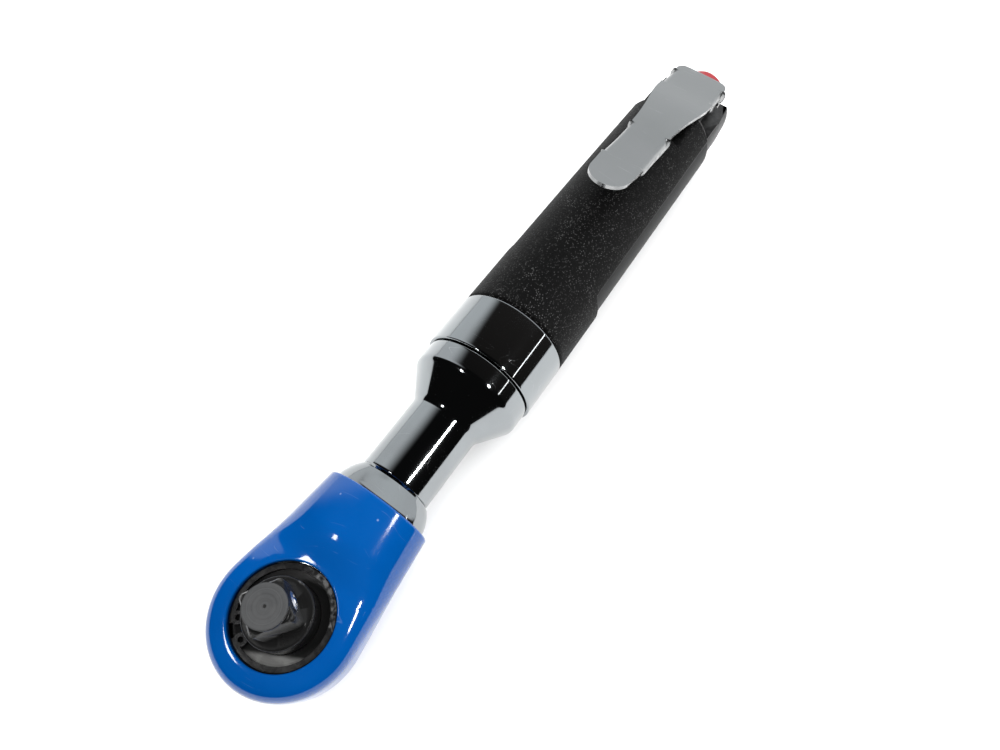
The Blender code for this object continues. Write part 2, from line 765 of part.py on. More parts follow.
def make_motor(tool):
    outer = rod("X", CYLINDER_START, CYLINDER_END, CYLINDER_RADIUS, segments=FINE)
    cylinder = add_object("cylinder", outer, "cast_iron", tool)
    bore = rod("X", 80, 135, CYLINDER_BORE, (0, 0, -BORE_OFFSET), FINE)
    boolean(cylinder, bore)
    boolean(cylinder, box((98.0, -14.0, -2.0), (118.0, -5.0, 2.0)))
    dowel_centre = (0, 0, DOWEL_Z)
    boolean(cylinder, rod("X", 80, 135, DOWEL_HOLE_RADIUS, dowel_centre, 12))
    add_object("cylinder_dowel", rod("X", 85.0, 130.4, 0.8, dowel_centre, 12), "steel", tool)

    front = [(81.0, 7.6), (85.1, 7.6), (85.1, 4.4), (86.3, 4.4), (86.3, 13.4), (81.0, 13.4)]
    plate = add_object("front_end_plate", turned(front, "X", FINE, ring=True), "cast_iron", tool)
    boolean(plate, rod("X", 84.7, 88, DOWEL_HOLE_RADIUS, dowel_centre, 12))
    add_object("front_bearing", tube("X", 81.1, 84.9, 4.03, 7.5), "steel", tool)

    rear = [(129.1, 3.4), (131.5, 3.4), (131.5, 6.6), (136.0, 6.6), (136.0, 11.7), (129.1, 11.7)]
    plate = add_object("rear_end_plate", turned(rear, "X", FINE, ring=True), "cast_iron", tool)
    boolean(plate, rod("X", 127, 130.7, DOWEL_HOLE_RADIUS, dowel_centre, 12))
    add_object("rear_bearing", tube("X", 131.7, 135.8, 3.05, 6.5), "steel", tool)


def make_rotor(spindle):
    pinion_end = 79.7
    body = [
        (pinion_end - 0.3, 3.9),
        (87.0, 3.9),
        (87.0, ROTOR_RADIUS),
        (128.6, ROTOR_RADIUS),
        (128.6, 2.95),
        (136.6, 2.95),
    ]
    rotor = add_object("rotor", turned(body, "X", FINE), "steel", spindle)
    pinion = prism(gear_outline(SUN_TEETH, ADDENDUM, DEDENDUM, -BACKLASH), 71.9, pinion_end, "X")
    boolean(rotor, pinion, "UNION")
    for index in range(VANES):
        turn = Matrix.Rotation(2 * math.pi * index / VANES, 3, "X")
        half_slot = VANE_THICKNESS / 2 + 0.1
        slot = box((86.0, -half_slot, VANE_ROOT - 0.2), (130.0, half_slot, 12.0))
        bmesh.ops.rotate(slot, verts=slot.verts, cent=(0, 0, 0), matrix=turn)
        boolean(rotor, slot)
        half = VANE_THICKNESS / 2
        vane = box((87.2, -half, VANE_ROOT), (128.4, half, VANE_TIP))
        bmesh.ops.rotate(vane, verts=vane.verts, cent=(0, 0, 0), matrix=turn)
        add_object(f"vane_{index + 1}", vane, "vane_composite", spindle)


# ---------------------------------------------------------------- gears


def involute(angle):
    return math.tan(angle) - angle


def gear_outline(teeth, above, below, widen, turn=0.0, flank_points=3):
    """Involute outline with a tooth centred on turn degrees; widen adds to its thickness."""
    pitch_radius = GEAR_MODULE * teeth / 2
    base_radius = pitch_radius * math.cos(math.radians(PRESSURE_ANGLE))
    half_angle = (math.pi * GEAR_MODULE / 2 + widen) / (2 * pitch_radius)
    half_angle += involute(math.radians(PRESSURE_ANGLE))
    low = pitch_radius - below
    high = pitch_radius + above
    flank = []
    for step in range(flank_points):
        radius = low + (high - low) * step / (flank_points - 1)
        roll = math.acos(min(base_radius / radius, 1.0))
        flank.append((radius, half_angle - involute(roll)))
    points = []
    for tooth in range(teeth):
        middle = math.radians(turn) + 2 * math.pi * tooth / teeth
        for radius, offset in flank:
            points.append((radius * math.cos(middle - offset), radius * math.sin(middle - offset)))
        for radius, offset in reversed(flank):
            points.append((radius * math.cos(middle + offset), radius * math.sin(middle + offset)))
    return points


def make_ring_gear(tool):
    body = rod("X", GEAR_START - 0.4, GEAR_END + 0.4, 13.5, segments=ROUND)
    ring = add_object("ring_gear", body, "steel", tool)
    space = gear_outline(RING_TEETH, DEDENDUM, ADDENDUM, BACKLASH, flank_points=2)
    boolean(ring, prism(space, GEAR_START - 2, GEAR_END + 2, "X"))
    add_object("gear_washer", tube("X", 79.9, 80.7, 5.6, 13.4), "steel", tool)


def make_planets(carrier):
    """Each planet has its own empty on its axle, so it spins about its origin."""
    for index in range(PLANETS):
        direction = 360 * index / PLANETS
        centre = (0.0, *polar(ORBIT_RADIUS, direction))
        facing = direction + 180 - 180 / PLANET_TEETH
        outline = gear_outline(PLANET_TEETH, ADDENDUM, DEDENDUM, -BACKLASH, facing)
        blank = prism(outline, GEAR_START, GEAR_END, "X", centre)
        gear = add_object(f"planet_gear_{index + 1}", blank, "steel", carrier, centre)
        boolean(gear, rod("X", GEAR_START - 1, GEAR_END + 1, 1.55, centre, 16))
        pin = rod("X", 67.6, GEAR_END + 0.1, 1.45, centre, 16)
        add_object(f"planet_pin_{index + 1}", pin, "steel", carrier)


def make_crankshaft(carrier):
    profile = [(25.6, 6.4), (31.0, 6.4), (33.0, 5.0), (67.2, 5.0), (67.2, 10.6), (71.0, 10.6)]
    crank = add_object("crankshaft", turned(profile, "X", FINE), "steel", carrier)
    pin_centre = (0.0, THROW, 0.0)
    boolean(crank, rod("X", 17.6, 27.0, CRANK_PIN_RADIUS, pin_centre), "UNION")
    for index in range(PLANETS):
        centre = (0.0, *polar(ORBIT_RADIUS, 360 * index / PLANETS))
        boolean(crank, rod("X", 67.5, 72.0, 1.55, centre, 16))
    boolean(crank, rod("X", 69.0, 72.5, 4.3, segments=SMALL))
    barrel = [
        (18.0, CRANK_PIN_RADIUS + 0.08),
        (25.0, CRANK_PIN_RADIUS + 0.08),
        (25.0, BUSHING_RADIUS - 0.4),
        (23.6, BUSHING_RADIUS),
        (19.4, BUSHING_RADIUS),
        (18.0, BUSHING_RADIUS - 0.4),
    ]
    bushing = turned(barrel, "X", SMALL, ring=True, centre=pin_centre)
    add_object("drive_bushing", bushing, "steel", carrier, (21.5, THROW, 0.0))


# ---------------------------------------------------------------- ratchet head


def make_yoke(tool):
    outline = []
    join_angle = math.degrees(math.asin(FORK_OUTSIDE / YOKE_RADIUS))
    arc_steps = 30
    for step in range(arc_steps + 1):
        angle = join_angle + (360 - 2 * join_angle) * step / arc_steps
        outline.append(polar(YOKE_RADIUS, angle))
    floor = 14.6
    outline += [
        (FORK_END - 0.8, -FORK_OUTSIDE),
        (FORK_END, -FORK_OUTSIDE + 0.8),
        (FORK_END, -FORK_INSIDE),
        (floor, -FORK_INSIDE),
        (floor, FORK_INSIDE),
        (FORK_END, FORK_INSIDE),
        (FORK_END, FORK_OUTSIDE - 0.8),
        (FORK_END - 0.8, FORK_OUTSIDE),
    ]
    yoke = add_object("yoke", prism(outline, -YOKE_HALF_HEIGHT, YOKE_HALF_HEIGHT), "steel", tool)
    teeth = []
    for tooth in range(YOKE_TEETH):
        pitch = 360 / YOKE_TEETH
        teeth.append(polar(TOOTH_ROOT, tooth * pitch))
        teeth.append(polar(TOOTH_TIP, (tooth + 0.42) * pitch))
        teeth.append(polar(TOOTH_TIP, (tooth + 0.58) * pitch))
    boolean(yoke, prism(teeth, -8, 8))
    return yoke


def make_head_rings(tool):
    bottom = CLIP_GROOVE_BOTTOM + 0.15
    top = CLIP_GROOVE_TOP - 0.15
    gap = 16
    gap_at = 197
    ring_steps = 28
    outer = []
    inner = []
    for step in range(ring_steps + 1):
        angle = gap_at + gap / 2 + (360 - gap) * step / ring_steps
        outer.append(polar(12.25, angle))
        inner.append(polar(10.5, angle))
    ring = prism(outer + inner[::-1], bottom, top)
    retaining = add_object("retaining_ring", ring, "black_oxide", tool)
    for side in (-1, 1):
        eye = polar(10.0, gap_at + side * (gap / 2 + 6))
        boolean(retaining, rod("Z", bottom, top, 1.5, (*eye, 0), 16), "UNION")
        boolean(retaining, rod("Z", bottom - 1, top + 1, 0.65, (*eye, 0), 12))
    washer = tube("Z", 4.95, 5.95, BOSS_RADIUS + 0.15, HEAD_BORE_RADIUS - 0.2, segments=ROUND)
    add_object("thrust_washer", washer, "black_oxide", tool)
    add_object("friction_washer", tube("Z", -5.7, -5.15, 6.8, 8.8), "spring_steel", tool)
    add_object("crank_bearing", tube("X", 38.0, 54.0, 5.08, 7.45, chamfer=0.3), "steel", tool)


def square_outline(across, corner):
    """Square with cut corners, one flat facing along its own first axis."""
    half = across / 2
    near = half - corner
    points = []
    for quarter in range(4):
        angle = math.radians(90 * quarter)
        for out, side in ((half, -near), (half, near)):
            points.append(
                (
                    out * math.cos(angle) - side * math.sin(angle),
                    out * math.sin(angle) + side * math.cos(angle),
                )
            )
    return points


def make_anvil(spindle):
    """Drive square on the handle's upper side, pawl pocket and bore for the knob below."""
    profile = [
        (-9.2, 6.3),
        (-4.9, 6.3),
        (-4.9, ANVIL_RADIUS),
        (4.6, ANVIL_RADIUS),
        (4.6, BOSS_RADIUS),
        (BOSS_TOP - 0.6, BOSS_RADIUS),
        (BOSS_TOP, BOSS_RADIUS - 0.6),
        (BOSS_TOP, TIP_RADIUS),
        (DRIVE_TIP - 0.3, TIP_RADIUS),
        (DRIVE_TIP, TIP_RADIUS - 0.3),
    ]
    anvil = add_object("anvil", turned(profile, "Z", FINE), "black_oxide", spindle)
    square = prism(square_outline(SQUARE, 0.9), BOSS_TOP - 0.5, SQUARE_TOP)
    boolean(anvil, turned_about_z(square, SQUARE_TURN), "UNION")
    ball_hole = rod("X", 1.2, 8.0, DETENT_BALL + 0.08, (0, 0, DETENT_Z), 16)
    boolean(anvil, turned_about_z(ball_hole, SQUARE_TURN))
    boolean(anvil, rod("Z", -12.0, 3.4, 3.15))
    pocket = box((4.9, -5.2, -3.1), (12.0, 5.2, 3.1))
    boolean(anvil, turned_about_z(pocket, PAWL_TURN))
    window = box((2.0, -2.9, -1.4), (6.0, 2.9, 1.4))
    boolean(anvil, turned_about_z(window, PAWL_TURN))
    pivot = (*polar(PAWL_PIVOT, PAWL_TURN), 0.0)
    boolean(anvil, rod("Z", -4.3, 4.3, 0.85, pivot, 12))
    add_object("pawl_pin", rod("Z", -4.2, 4.2, 0.75, pivot, 12), "steel", spindle)

    facing = Vector((*polar(1.0, SQUARE_TURN), 0.0))
    up = Vector((0.0, 0.0, DETENT_Z))
    centre = facing * (DETENT_REACH - DETENT_BALL) + up
    add_object("detent_ball", ball(centre, DETENT_BALL, 14, 8), "ball_steel", spindle, centre)
    coil_spring("detent_spring", facing * 1.5 + up, facing * 2.4 + up, 0.85, 0.14, 2, spindle)


def make_pawl(spindle):
    """Rocker with a toothed tip at each end, cut short of the yoke's teeth."""
    outline = [(5.35, -3.6), (5.35, 3.6)]
    for degrees, radius in ((27.0, 8.75), (24.5, 8.9), (21.5, 8.5), (19.0, 8.75), (16.0, 8.3)):
        outline.append(polar(radius, degrees))
    outline.append((8.1, 0.0))
    for degrees, radius in ((16.0, 8.3), (19.0, 8.75), (21.5, 8.5), (24.5, 8.9), (27.0, 8.75)):
        outline.append(polar(radius, -degrees))
    pivot = (*polar(PAWL_PIVOT, PAWL_TURN), 0.0)
    blank = turned_about_z(prism(outline, -2.9, 2.9), PAWL_TURN)
    pawl = add_object("pawl", blank, "steel", spindle, pivot)
    boolean(pawl, rod("Z", -4.0, 4.0, 0.85, pivot, 12))


def make_reverse_knob(spindle):
    sections = []
    per_flute = 6
    for height, share in ((-9.3, 0.95), (-9.9, 1.0), (-15.9, 1.0), (KNOB_BOTTOM, 0.94)):
        ring = []
        for step in range(FLUTES * per_flute):
            angle = 360 * step / (FLUTES * per_flute)
            wave = 0.45 * (1 - math.cos(math.radians(FLUTES * angle))) / 2
            ring.append((*polar((KNOB_RADIUS - wave) * share, angle), height))
        sections.append(ring)
    knob = add_object("reverse_knob", lofted(sections), "black_oxide", spindle)
    boolean(knob, rod("Z", -10.0, 3.0, 3.05), "UNION")
    hole = rod("X", -2.3, 4.0, 1.15, segments=12)
    boolean(knob, turned_about_z(hole, PAWL_TURN))
    facing = Vector((*polar(1.0, PAWL_TURN), 0.0))
    plunger = turned([(1.9, 1.0), (4.4, 1.0), (4.85, 0.7), (5.0, 0.3)], "X", 12)
    add_object("pawl_plunger", turned_about_z(plunger, PAWL_TURN), "steel", spindle)
    coil_spring("plunger_spring", facing * -1.9, facing * 1.5, 0.78, 0.17, 4, spindle)


def main():
    clear_scene()
    tool = add_empty("tool", (-MIDDLE, 0.0, AXIS_HEIGHT))
    rotor_axis = add_empty("rotor_axis", (0.0, 0.0, 0.0), tool)
    carrier_axis = add_empty("carrier_axis", (0.0, 0.0, 0.0), tool)
    anvil_axis = add_empty("anvil_axis", (0.0, 0.0, 0.0), tool)
    make_boot(tool)
    make_ratchet_housing(tool)
    make_clamp_nut(tool)
    make_motor_housing(tool)
    make_grip(tool)
    make_lever(tool)
    make_valve(tool)
    make_inlet(tool)
    make_motor(tool)
    make_rotor(rotor_axis)
    make_ring_gear(tool)
    make_planets(carrier_axis)
    make_crankshaft(carrier_axis)
    make_yoke(tool)
    make_head_rings(tool)
    make_anvil(anvil_axis)
    make_pawl(anvil_axis)
    make_reverse_knob(anvil_axis)


main()
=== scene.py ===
"""Looks of the air ratchet: fine meshes, finishes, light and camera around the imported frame.

Lengths are millimetres in the tool frame unless a name says otherwise. In the tool frame +X
runs along the handle from the drive to the air inlet, +Z runs up the drive, and the origin is
where the drive's axis crosses the handle's axis.
"""

import math

import bmesh
import bpy
from mathutils import Matrix, Vector


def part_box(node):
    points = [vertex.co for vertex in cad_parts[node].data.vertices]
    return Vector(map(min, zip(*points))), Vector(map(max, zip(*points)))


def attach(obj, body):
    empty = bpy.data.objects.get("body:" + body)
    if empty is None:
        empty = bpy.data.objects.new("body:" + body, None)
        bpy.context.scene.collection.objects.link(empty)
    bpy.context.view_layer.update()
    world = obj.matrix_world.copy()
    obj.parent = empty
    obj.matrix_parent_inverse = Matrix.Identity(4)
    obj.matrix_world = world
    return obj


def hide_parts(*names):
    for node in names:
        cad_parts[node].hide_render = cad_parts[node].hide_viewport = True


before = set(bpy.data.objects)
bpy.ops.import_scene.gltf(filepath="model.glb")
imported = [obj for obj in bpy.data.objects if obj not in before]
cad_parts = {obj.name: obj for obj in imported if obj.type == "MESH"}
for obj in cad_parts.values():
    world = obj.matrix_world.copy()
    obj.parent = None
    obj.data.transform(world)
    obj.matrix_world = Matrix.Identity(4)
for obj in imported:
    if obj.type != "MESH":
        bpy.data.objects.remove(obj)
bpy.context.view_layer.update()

MM = 0.001


# ---------------------------------------------------------------- sizes from the frame


def tool_origin():
    """Where the drive's axis crosses the handle's axis, in metres."""
    drive_low, drive_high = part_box("anvil")
    nut_low, nut_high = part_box("clamp_nut")
    return Vector(((drive_low.x + drive_high.x) / 2, 0.0, (nut_low.z + nut_high.z) / 2))


ORIGIN = tool_origin()


def span(node):
    """Lowest and highest corner of a CAD node, in the tool frame."""
    low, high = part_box(node)
    return (low - ORIGIN) / MM, (high - ORIGIN) / MM


# Head and boot.
BOOT_LOW, BOOT_HIGH = span("protective_boot")
HEAD_RADIUS = -BOOT_LOW.x
BOOT_REAR = BOOT_HIGH.x
REAR_HALF_HEIGHT = BOOT_HIGH.z
BOOT_WALL = 1.2
SKIN_GAP = 0.3
SIDE_SLOPE = 0.098
HEAD_TOP = 9.0
HEAD_BOTTOM = -10.5
OPENING_RADIUS = 12.1
KNOB_OPENING_RADIUS = 11.6
HEAD_SPLIT = 14.0

# Ratchet housing behind the boot.
HOUSING_END = span("ratchet_housing")[1].x
NECK_RADIUS = 9.95
NECK_START = 40.0
CONE_START = 61.0
CONE_END = 70.0
CONE_RADIUS = 16.1
SPIGOT_RADIUS = 14.6
HEAD_BORE_RADIUS = 11.8
HEAD_BORE_FLOOR = -5.9

# Clamp nut, grip and motor housing.
NUT_LOW, NUT_HIGH = span("clamp_nut")
NUT_START = NUT_LOW.x
NUT_END = NUT_HIGH.x
NUT_RADIUS = NUT_HIGH.z
GRIP_LOW, GRIP_HIGH = span("grip_sleeve")
GRIP_START = GRIP_LOW.x
GRIP_END = GRIP_HIGH.x
GRIP_BORE_RADIUS = 14.2
BAND_START = 114.0
BAND_ANGLE = 29.0
BODY_LOW, BODY_HIGH = span("motor_housing")
BODY_START = BODY_LOW.x
BODY_END = BODY_HIGH.x
BODY_RADIUS = 13.9
TAPER_START = 199.0
TAPER_RADIUS = 13.2
FLAT_HEIGHT = 13.2
FLAT_START = 173.0
LUG_START = 193.5
LUG_TOP = 11.3
LUG_REAR = 203.0
LUG_REAR_TOP = 10.3
LUG_HALF_WIDTH = 7.4
SHELF_START = 190.0
SHELF_HEIGHT = 5.8

# Throttle.
PLATE = 1.1
LEVER_HEIGHTS = (
    (133.8, 27.7),
    (145.0, 24.9),
    (158.0, 22.3),
    (172.0, 20.3),
    (184.0, 17.8),
    (196.0, 14.6),
    (209.5, 11.6),
)
LEVER_WIDTHS = (
    (140.0, 6.2),
    (148.0, 6.6),
    (158.0, 6.4),
    (170.0, 6.6),
    (178.0, 7.5),
    (188.0, 9.1),
    (196.0, 9.3),
    (209.5, 8.9),
)
NOSE_RADIUS = 6.2
FOLD_RADIUS = 1.7
PIVOT_X = 201.5
PIVOT_Z = 9.8
PIN_RADIUS = 1.0
VALVE_X = 184.0

# Inlet.
PLUG_END = span("inlet_plug")[1].x
BUSHING_FACE = span("inlet_bushing")[1].x
BUSHING_BORE = 5.6

# Square drive.
DRIVE_TOP = span("anvil")[1].z
SQUARE = 9.53
SQUARE_TURN = -32.0
SQUARE_TOP = 22.4
BOSS_RADIUS = 8.0
BOSS_TOP = 12.9
TIP_RADIUS = 4.75
DETENT_Z = 17.5
DETENT_BALL = 1.25
DETENT_REACH = 5.25
KNOB_BOTTOM = span("reverse_knob")[0].z
KNOB_RADIUS = 11.0
FLUTES = 8

ROUND = 144
FINE = 96
SMALL = 48


# ---------------------------------------------------------------- mesh helpers


def add_piece(name, mesh_data, body, finish, replaced, crease=35.0, bevel=0.0):
    """Turns a bmesh in tool millimetres into a piece that rides on a body of the frame."""
    bmesh.ops.recalc_face_normals(mesh_data, faces=mesh_data.faces)
    bmesh.ops.scale(mesh_data, vec=(MM, MM, MM), verts=mesh_data.verts)
    mesh = bpy.data.meshes.new(name)
    mesh_data.to_mesh(mesh)
    mesh_data.free()
    mesh.shade_smooth()
    mesh.set_sharp_from_angle(angle=math.radians(crease))
    mesh.materials.append(finish)
    piece = bpy.data.objects.new(name, mesh)
    piece.location = ORIGIN
    bpy.context.scene.collection.objects.link(piece)
    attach(piece, body)
    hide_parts(*replaced)
    if bevel:
        round_edges(piece, bevel)
    return piece


def round_edges(piece, width, angle=40.0, segments=3):
    bevel = piece.modifiers.new("rounded_edges", "BEVEL")
    bevel.width = width * MM
    bevel.segments = segments
    bevel.limit_method = "ANGLE"
    bevel.angle_limit = math.radians(angle)
    bevel.harden_normals = True


def cut(piece, tool_mesh, operation="DIFFERENCE"):
    """Cuts a shape out of a piece, or joins it on, and keeps the result in its mesh."""
    bmesh.ops.recalc_face_normals(tool_mesh, faces=tool_mesh.faces)
    bmesh.ops.scale(tool_mesh, vec=(MM, MM, MM), verts=tool_mesh.verts)
    mesh = bpy.data.meshes.new("cutter")
    tool_mesh.to_mesh(mesh)
    tool_mesh.free()
    mesh.shade_smooth()
    mesh.set_sharp_from_angle(angle=math.radians(35.0))
    cutter = bpy.data.objects.new("cutter", mesh)
    cutter.location = ORIGIN
    bpy.context.scene.collection.objects.link(cutter)
    modifier = piece.modifiers.new("cut", "BOOLEAN")
    modifier.operation = operation
    modifier.solver = "EXACT"
    modifier.object = cutter
    bake_modifiers(piece)
    bpy.data.objects.remove(cutter)
    bpy.data.meshes.remove(mesh)


def bake_modifiers(piece):
    bpy.context.view_layer.update()
    graph = bpy.context.evaluated_depsgraph_get()
    baked = bpy.data.meshes.new_from_object(piece.evaluated_get(graph))
    old = piece.data
    piece.modifiers.clear()
    piece.data = baked
    bpy.data.meshes.remove(old)


def axis_point(axis, along, across, centre=(0.0, 0.0, 0.0)):
    first, second = across
    order = {"X": (along, first, second), "Y": (first, along, second), "Z": (first, second, along)}
    return Vector(order[axis]) + Vector(centre)


def join_rings(mesh_data, first, second):
    """Joins two closed loops of one count, or a loop and a single point, with faces."""
    count = max(len(first), len(second))
    for step in range(count):
        after = (step + 1) % count
        corners = [
            first[step % len(first)],
            first[after % len(first)],
            second[after % len(second)],
            second[step % len(second)],
        ]
        unique = []
        for corner in corners:
            if corner not in unique:
                unique.append(corner)
        if len(unique) > 2:
            mesh_data.faces.new(unique)


def add_ring(mesh_data, points):
    return [mesh_data.verts.new(point) for point in points]


def polar(radius, degrees):
    return radius * math.cos(math.radians(degrees)), radius * math.sin(math.radians(degrees))


def smoothstep(low, high, value):
    share = min(max((value - low) / (high - low), 0.0), 1.0)
    return share * share * (3 - 2 * share)


def rounded(corners, steps=5):
    """(along, radius) points of an outline; a corner's third value is how far its rounding starts from it."""
    points = []
    for index, corner in enumerate(corners):
        here = Vector(corner[:2])
        reach = corner[2] if len(corner) > 2 else 0.0
        if not reach or index in (0, len(corners) - 1):
            points.append(tuple(here))
            continue
        before = Vector(corners[index - 1][:2])
        after = Vector(corners[index + 1][:2])
        start = here + (before - here).normalized() * reach
        end = here + (after - here).normalized() * reach
        for step in range(steps + 1):
            share = step / steps
            point = start * (1 - share) ** 2 + here * 2 * share * (1 - share) + end * share**2
            points.append(tuple(point))
    return points


def turned(profile, axis="X", segments=ROUND, ring=False, centre=(0.0, 0.0, 0.0)):
    """Revolves (along, radius) points about an axis; ring closes the profile on itself."""
    mesh_data = bmesh.new()
    rings = []
    for along, radius in profile:
        count = 1 if radius < 1e-6 else segments
        points = []
        for step in range(count):
            angle = 2 * math.pi * step / segments
            across = (radius * math.cos(angle), radius * math.sin(angle))
            points.append(axis_point(axis, along, across, centre))
        rings.append(add_ring(mesh_data, points))
    pairs = list(zip(rings, rings[1:]))
    if ring:
        pairs.append((rings[-1], rings[0]))
    for first, second in pairs:
        join_rings(mesh_data, first, second)
    if not ring:
        for end in (rings[0], rings[-1]):
            if len(end) > 1:
                mesh_data.faces.new(end)
    return mesh_data


def rod(axis, start, stop, radius, centre=(0.0, 0.0, 0.0), segments=SMALL, edge=0.0):
    if not edge:
        return turned([(start, radius), (stop, radius)], axis, segments, centre=centre)
    corners = [(start, 0.0), (start, radius, edge), (stop, radius, edge), (stop, 0.0)]
    return turned(rounded(corners), axis, segments, centre=centre)


def lofted(sections):
    """Skins rings of points of one count and closes both ends."""
    mesh_data = bmesh.new()
    rings = [add_ring(mesh_data, section) for section in sections]
    for first, second in zip(rings, rings[1:]):
        join_rings(mesh_data, first, second)
    mesh_data.faces.new(rings[0])
    mesh_data.faces.new(rings[-1])
    return mesh_data


def prism(outline, start, stop, axis="Z"):
    return lofted([[axis_point(axis, along, point) for point in outline] for along in (start, stop)])


def block(low, high):
    outline = [(low[0], low[1]), (high[0], low[1]), (high[0], high[1]), (low[0], high[1])]
    return prism(outline, low[2], high[2])


def turned_about_z(mesh_data, degrees):
    turn = Matrix.Rotation(math.radians(degrees), 3, "Z")
    bmesh.ops.rotate(mesh_data, verts=mesh_data.verts, cent=(0, 0, 0), matrix=turn)
    return mesh_data


def ball(centre, radius, segments=SMALL, rings=24):
    profile = []
    for ring_index in range(rings + 1):
        angle = math.pi * ring_index / rings
        profile.append((-radius * math.cos(angle), radius * math.sin(angle)))
    return turned(profile, "Z", segments, centre=centre)


def slope_at(points, index):
    before = points[max(index - 1, 0)]
    after = points[min(index + 1, len(points) - 1)]
    return (after[1] - before[1]) / (after[0] - before[0])


def along_points(points, value):
    """Smooth curve through (place, height) points, with Catmull-Rom slopes."""
    if value <= points[0][0]:
        return points[0][1]
    for index in range(len(points) - 1):
        x_low, y_low = points[index]
        x_high, y_high = points[index + 1]
        if value <= x_high:
            reach = x_high - x_low
            share = (value - x_low) / reach
            square = share * share
            cube = square * share
            return (
                y_low * (2 * cube - 3 * square + 1)
                + slope_at(points, index) * reach * (cube - 2 * square + share)
                + y_high * (3 * square - 2 * cube)
                + slope_at(points, index + 1) * reach * (cube - square)
            )
    return points[-1][1]


# ---------------------------------------------------------------- finishes: node helpers


class Wiring:
    """Adds nodes to one tree; a value that is a socket is linked, any other is set."""

    def __init__(self, tree):
        self.tree = tree

    def add(self, kind, values=None, **settings):
        node = self.tree.nodes.new(kind)
        for setting, value in settings.items():
            setattr(node, setting, value)
        for socket, value in (values or {}).items():
            if isinstance(value, bpy.types.NodeSocket):
                self.tree.links.new(value, node.inputs[socket])
            else:
                node.inputs[socket].default_value = value
        return node

    def math(self, operation, first, second=0.0):
        return self.add("ShaderNodeMath", {0: first, 1: second}, operation=operation).outputs[0]

    def ramp(self, value, low, high, to_low=0.0, to_high=1.0, smooth=True):
        kind = "SMOOTHSTEP" if smooth else "LINEAR"
        values = {"Value": value, "From Min": low, "From Max": high, "To Min": to_low, "To Max": to_high}
        return self.add("ShaderNodeMapRange", values, interpolation_type=kind).outputs[0]

    def mix(self, share, first, second):
        """Colour between two colours."""
        node = self.add("ShaderNodeMix", data_type="RGBA")
        for index, value in ((0, share), (6, first), (7, second)):
            if isinstance(value, bpy.types.NodeSocket):
                self.tree.links.new(value, node.inputs[index])
            else:
                node.inputs[index].default_value = value
        return node.outputs[2]

    def place(self):
        return self.add("ShaderNodeTexCoord").outputs["Object"]

    def group(self, name, **values):
        node = self.add("ShaderNodeGroup", node_tree=bpy.data.node_groups[name])
        for socket, value in values.items():
            target = node.inputs[socket.replace("_", " ").capitalize()]
            if isinstance(value, bpy.types.NodeSocket):
                self.tree.links.new(value, target)
            else:
                target.default_value = value
        return node.outputs[0]


def new_effect(name, inputs, output, output_kind="NodeSocketFloat"):
    """A shader node group with float inputs and one output; returns its wiring and ends."""
    tree = bpy.data.node_groups.new(name, "ShaderNodeTree")
    for socket, value in inputs.items():
        made = tree.interface.new_socket(socket, in_out="INPUT", socket_type="NodeSocketFloat")
        made.default_value = value
    tree.interface.new_socket(output, in_out="OUTPUT", socket_type=output_kind)
    wiring = Wiring(tree)
    start = wiring.add("NodeGroupInput")
    end = wiring.add("NodeGroupOutput")
    return wiring, start.outputs, end.inputs


def make_smudges():
    """Broad soft patches, as fingers and oil leave them."""
    wiring, given, out = new_effect("smudges", {"Scale": 60.0, "Edge": 0.1}, "Mask")
    noise = wiring.add(
        "ShaderNodeTexNoise",
        {"Vector": wiring.place(), "Scale": given["Scale"], "Detail": 4.0, "Distortion": 0.6},
    )
    low = wiring.math("SUBTRACT", 0.52, given["Edge"])
    high = wiring.math("ADD", 0.52, given["Edge"])
    wiring.tree.links.new(wiring.ramp(noise.outputs["Fac"], low, high), out["Mask"])


def make_hairlines():
    """Fine scratches: thin level lines of a stretched noise, in two crossing directions."""
    wiring, given, out = new_effect("hairlines", {"Scale": 150.0, "Width": 0.004}, "Mask")
    masks = []
    for turn in (0.3, 1.3):
        moved = wiring.add(
            "ShaderNodeMapping",
            {"Vector": wiring.place(), "Rotation": (turn, turn, turn), "Scale": (1.0, 0.12, 1.0)},
        ).outputs[0]
        noise = wiring.add(
            "ShaderNodeTexNoise", {"Vector": moved, "Scale": given["Scale"], "Detail": 1.0}
        )
        away = wiring.math("ABSOLUTE", wiring.math("SUBTRACT", noise.outputs["Fac"], 0.5))
        masks.append(wiring.ramp(away, 0.0, given["Width"], 1.0, 0.0))
    breakup = wiring.add("ShaderNodeTexNoise", {"Vector": wiring.place(), "Scale": 210.0})
    patch = wiring.ramp(breakup.outputs["Fac"], 0.5, 0.62)
    both = wiring.math("MULTIPLY", wiring.math("MAXIMUM", *masks), patch)
    wiring.tree.links.new(both, out["Mask"])


def make_grain():
    """Height of a fine even texture, between cells and noise."""
    wiring, given, out = new_effect("grain", {"Scale": 2000.0, "Cells": 0.5}, "Height")
    place = wiring.place()
    noise = wiring.add("ShaderNodeTexNoise", {"Vector": place, "Scale": given["Scale"], "Detail": 3.0})
    cells = wiring.add("ShaderNodeTexVoronoi", {"Vector": place, "Scale": given["Scale"]})
    from_cells = wiring.math("MULTIPLY", cells.outputs["Distance"], given["Cells"])
    keep = wiring.math("SUBTRACT", 1.0, given["Cells"])
    from_noise = wiring.math("MULTIPLY", noise.outputs["Fac"], keep)
    wiring.tree.links.new(wiring.math("ADD", from_cells, from_noise), out["Height"])


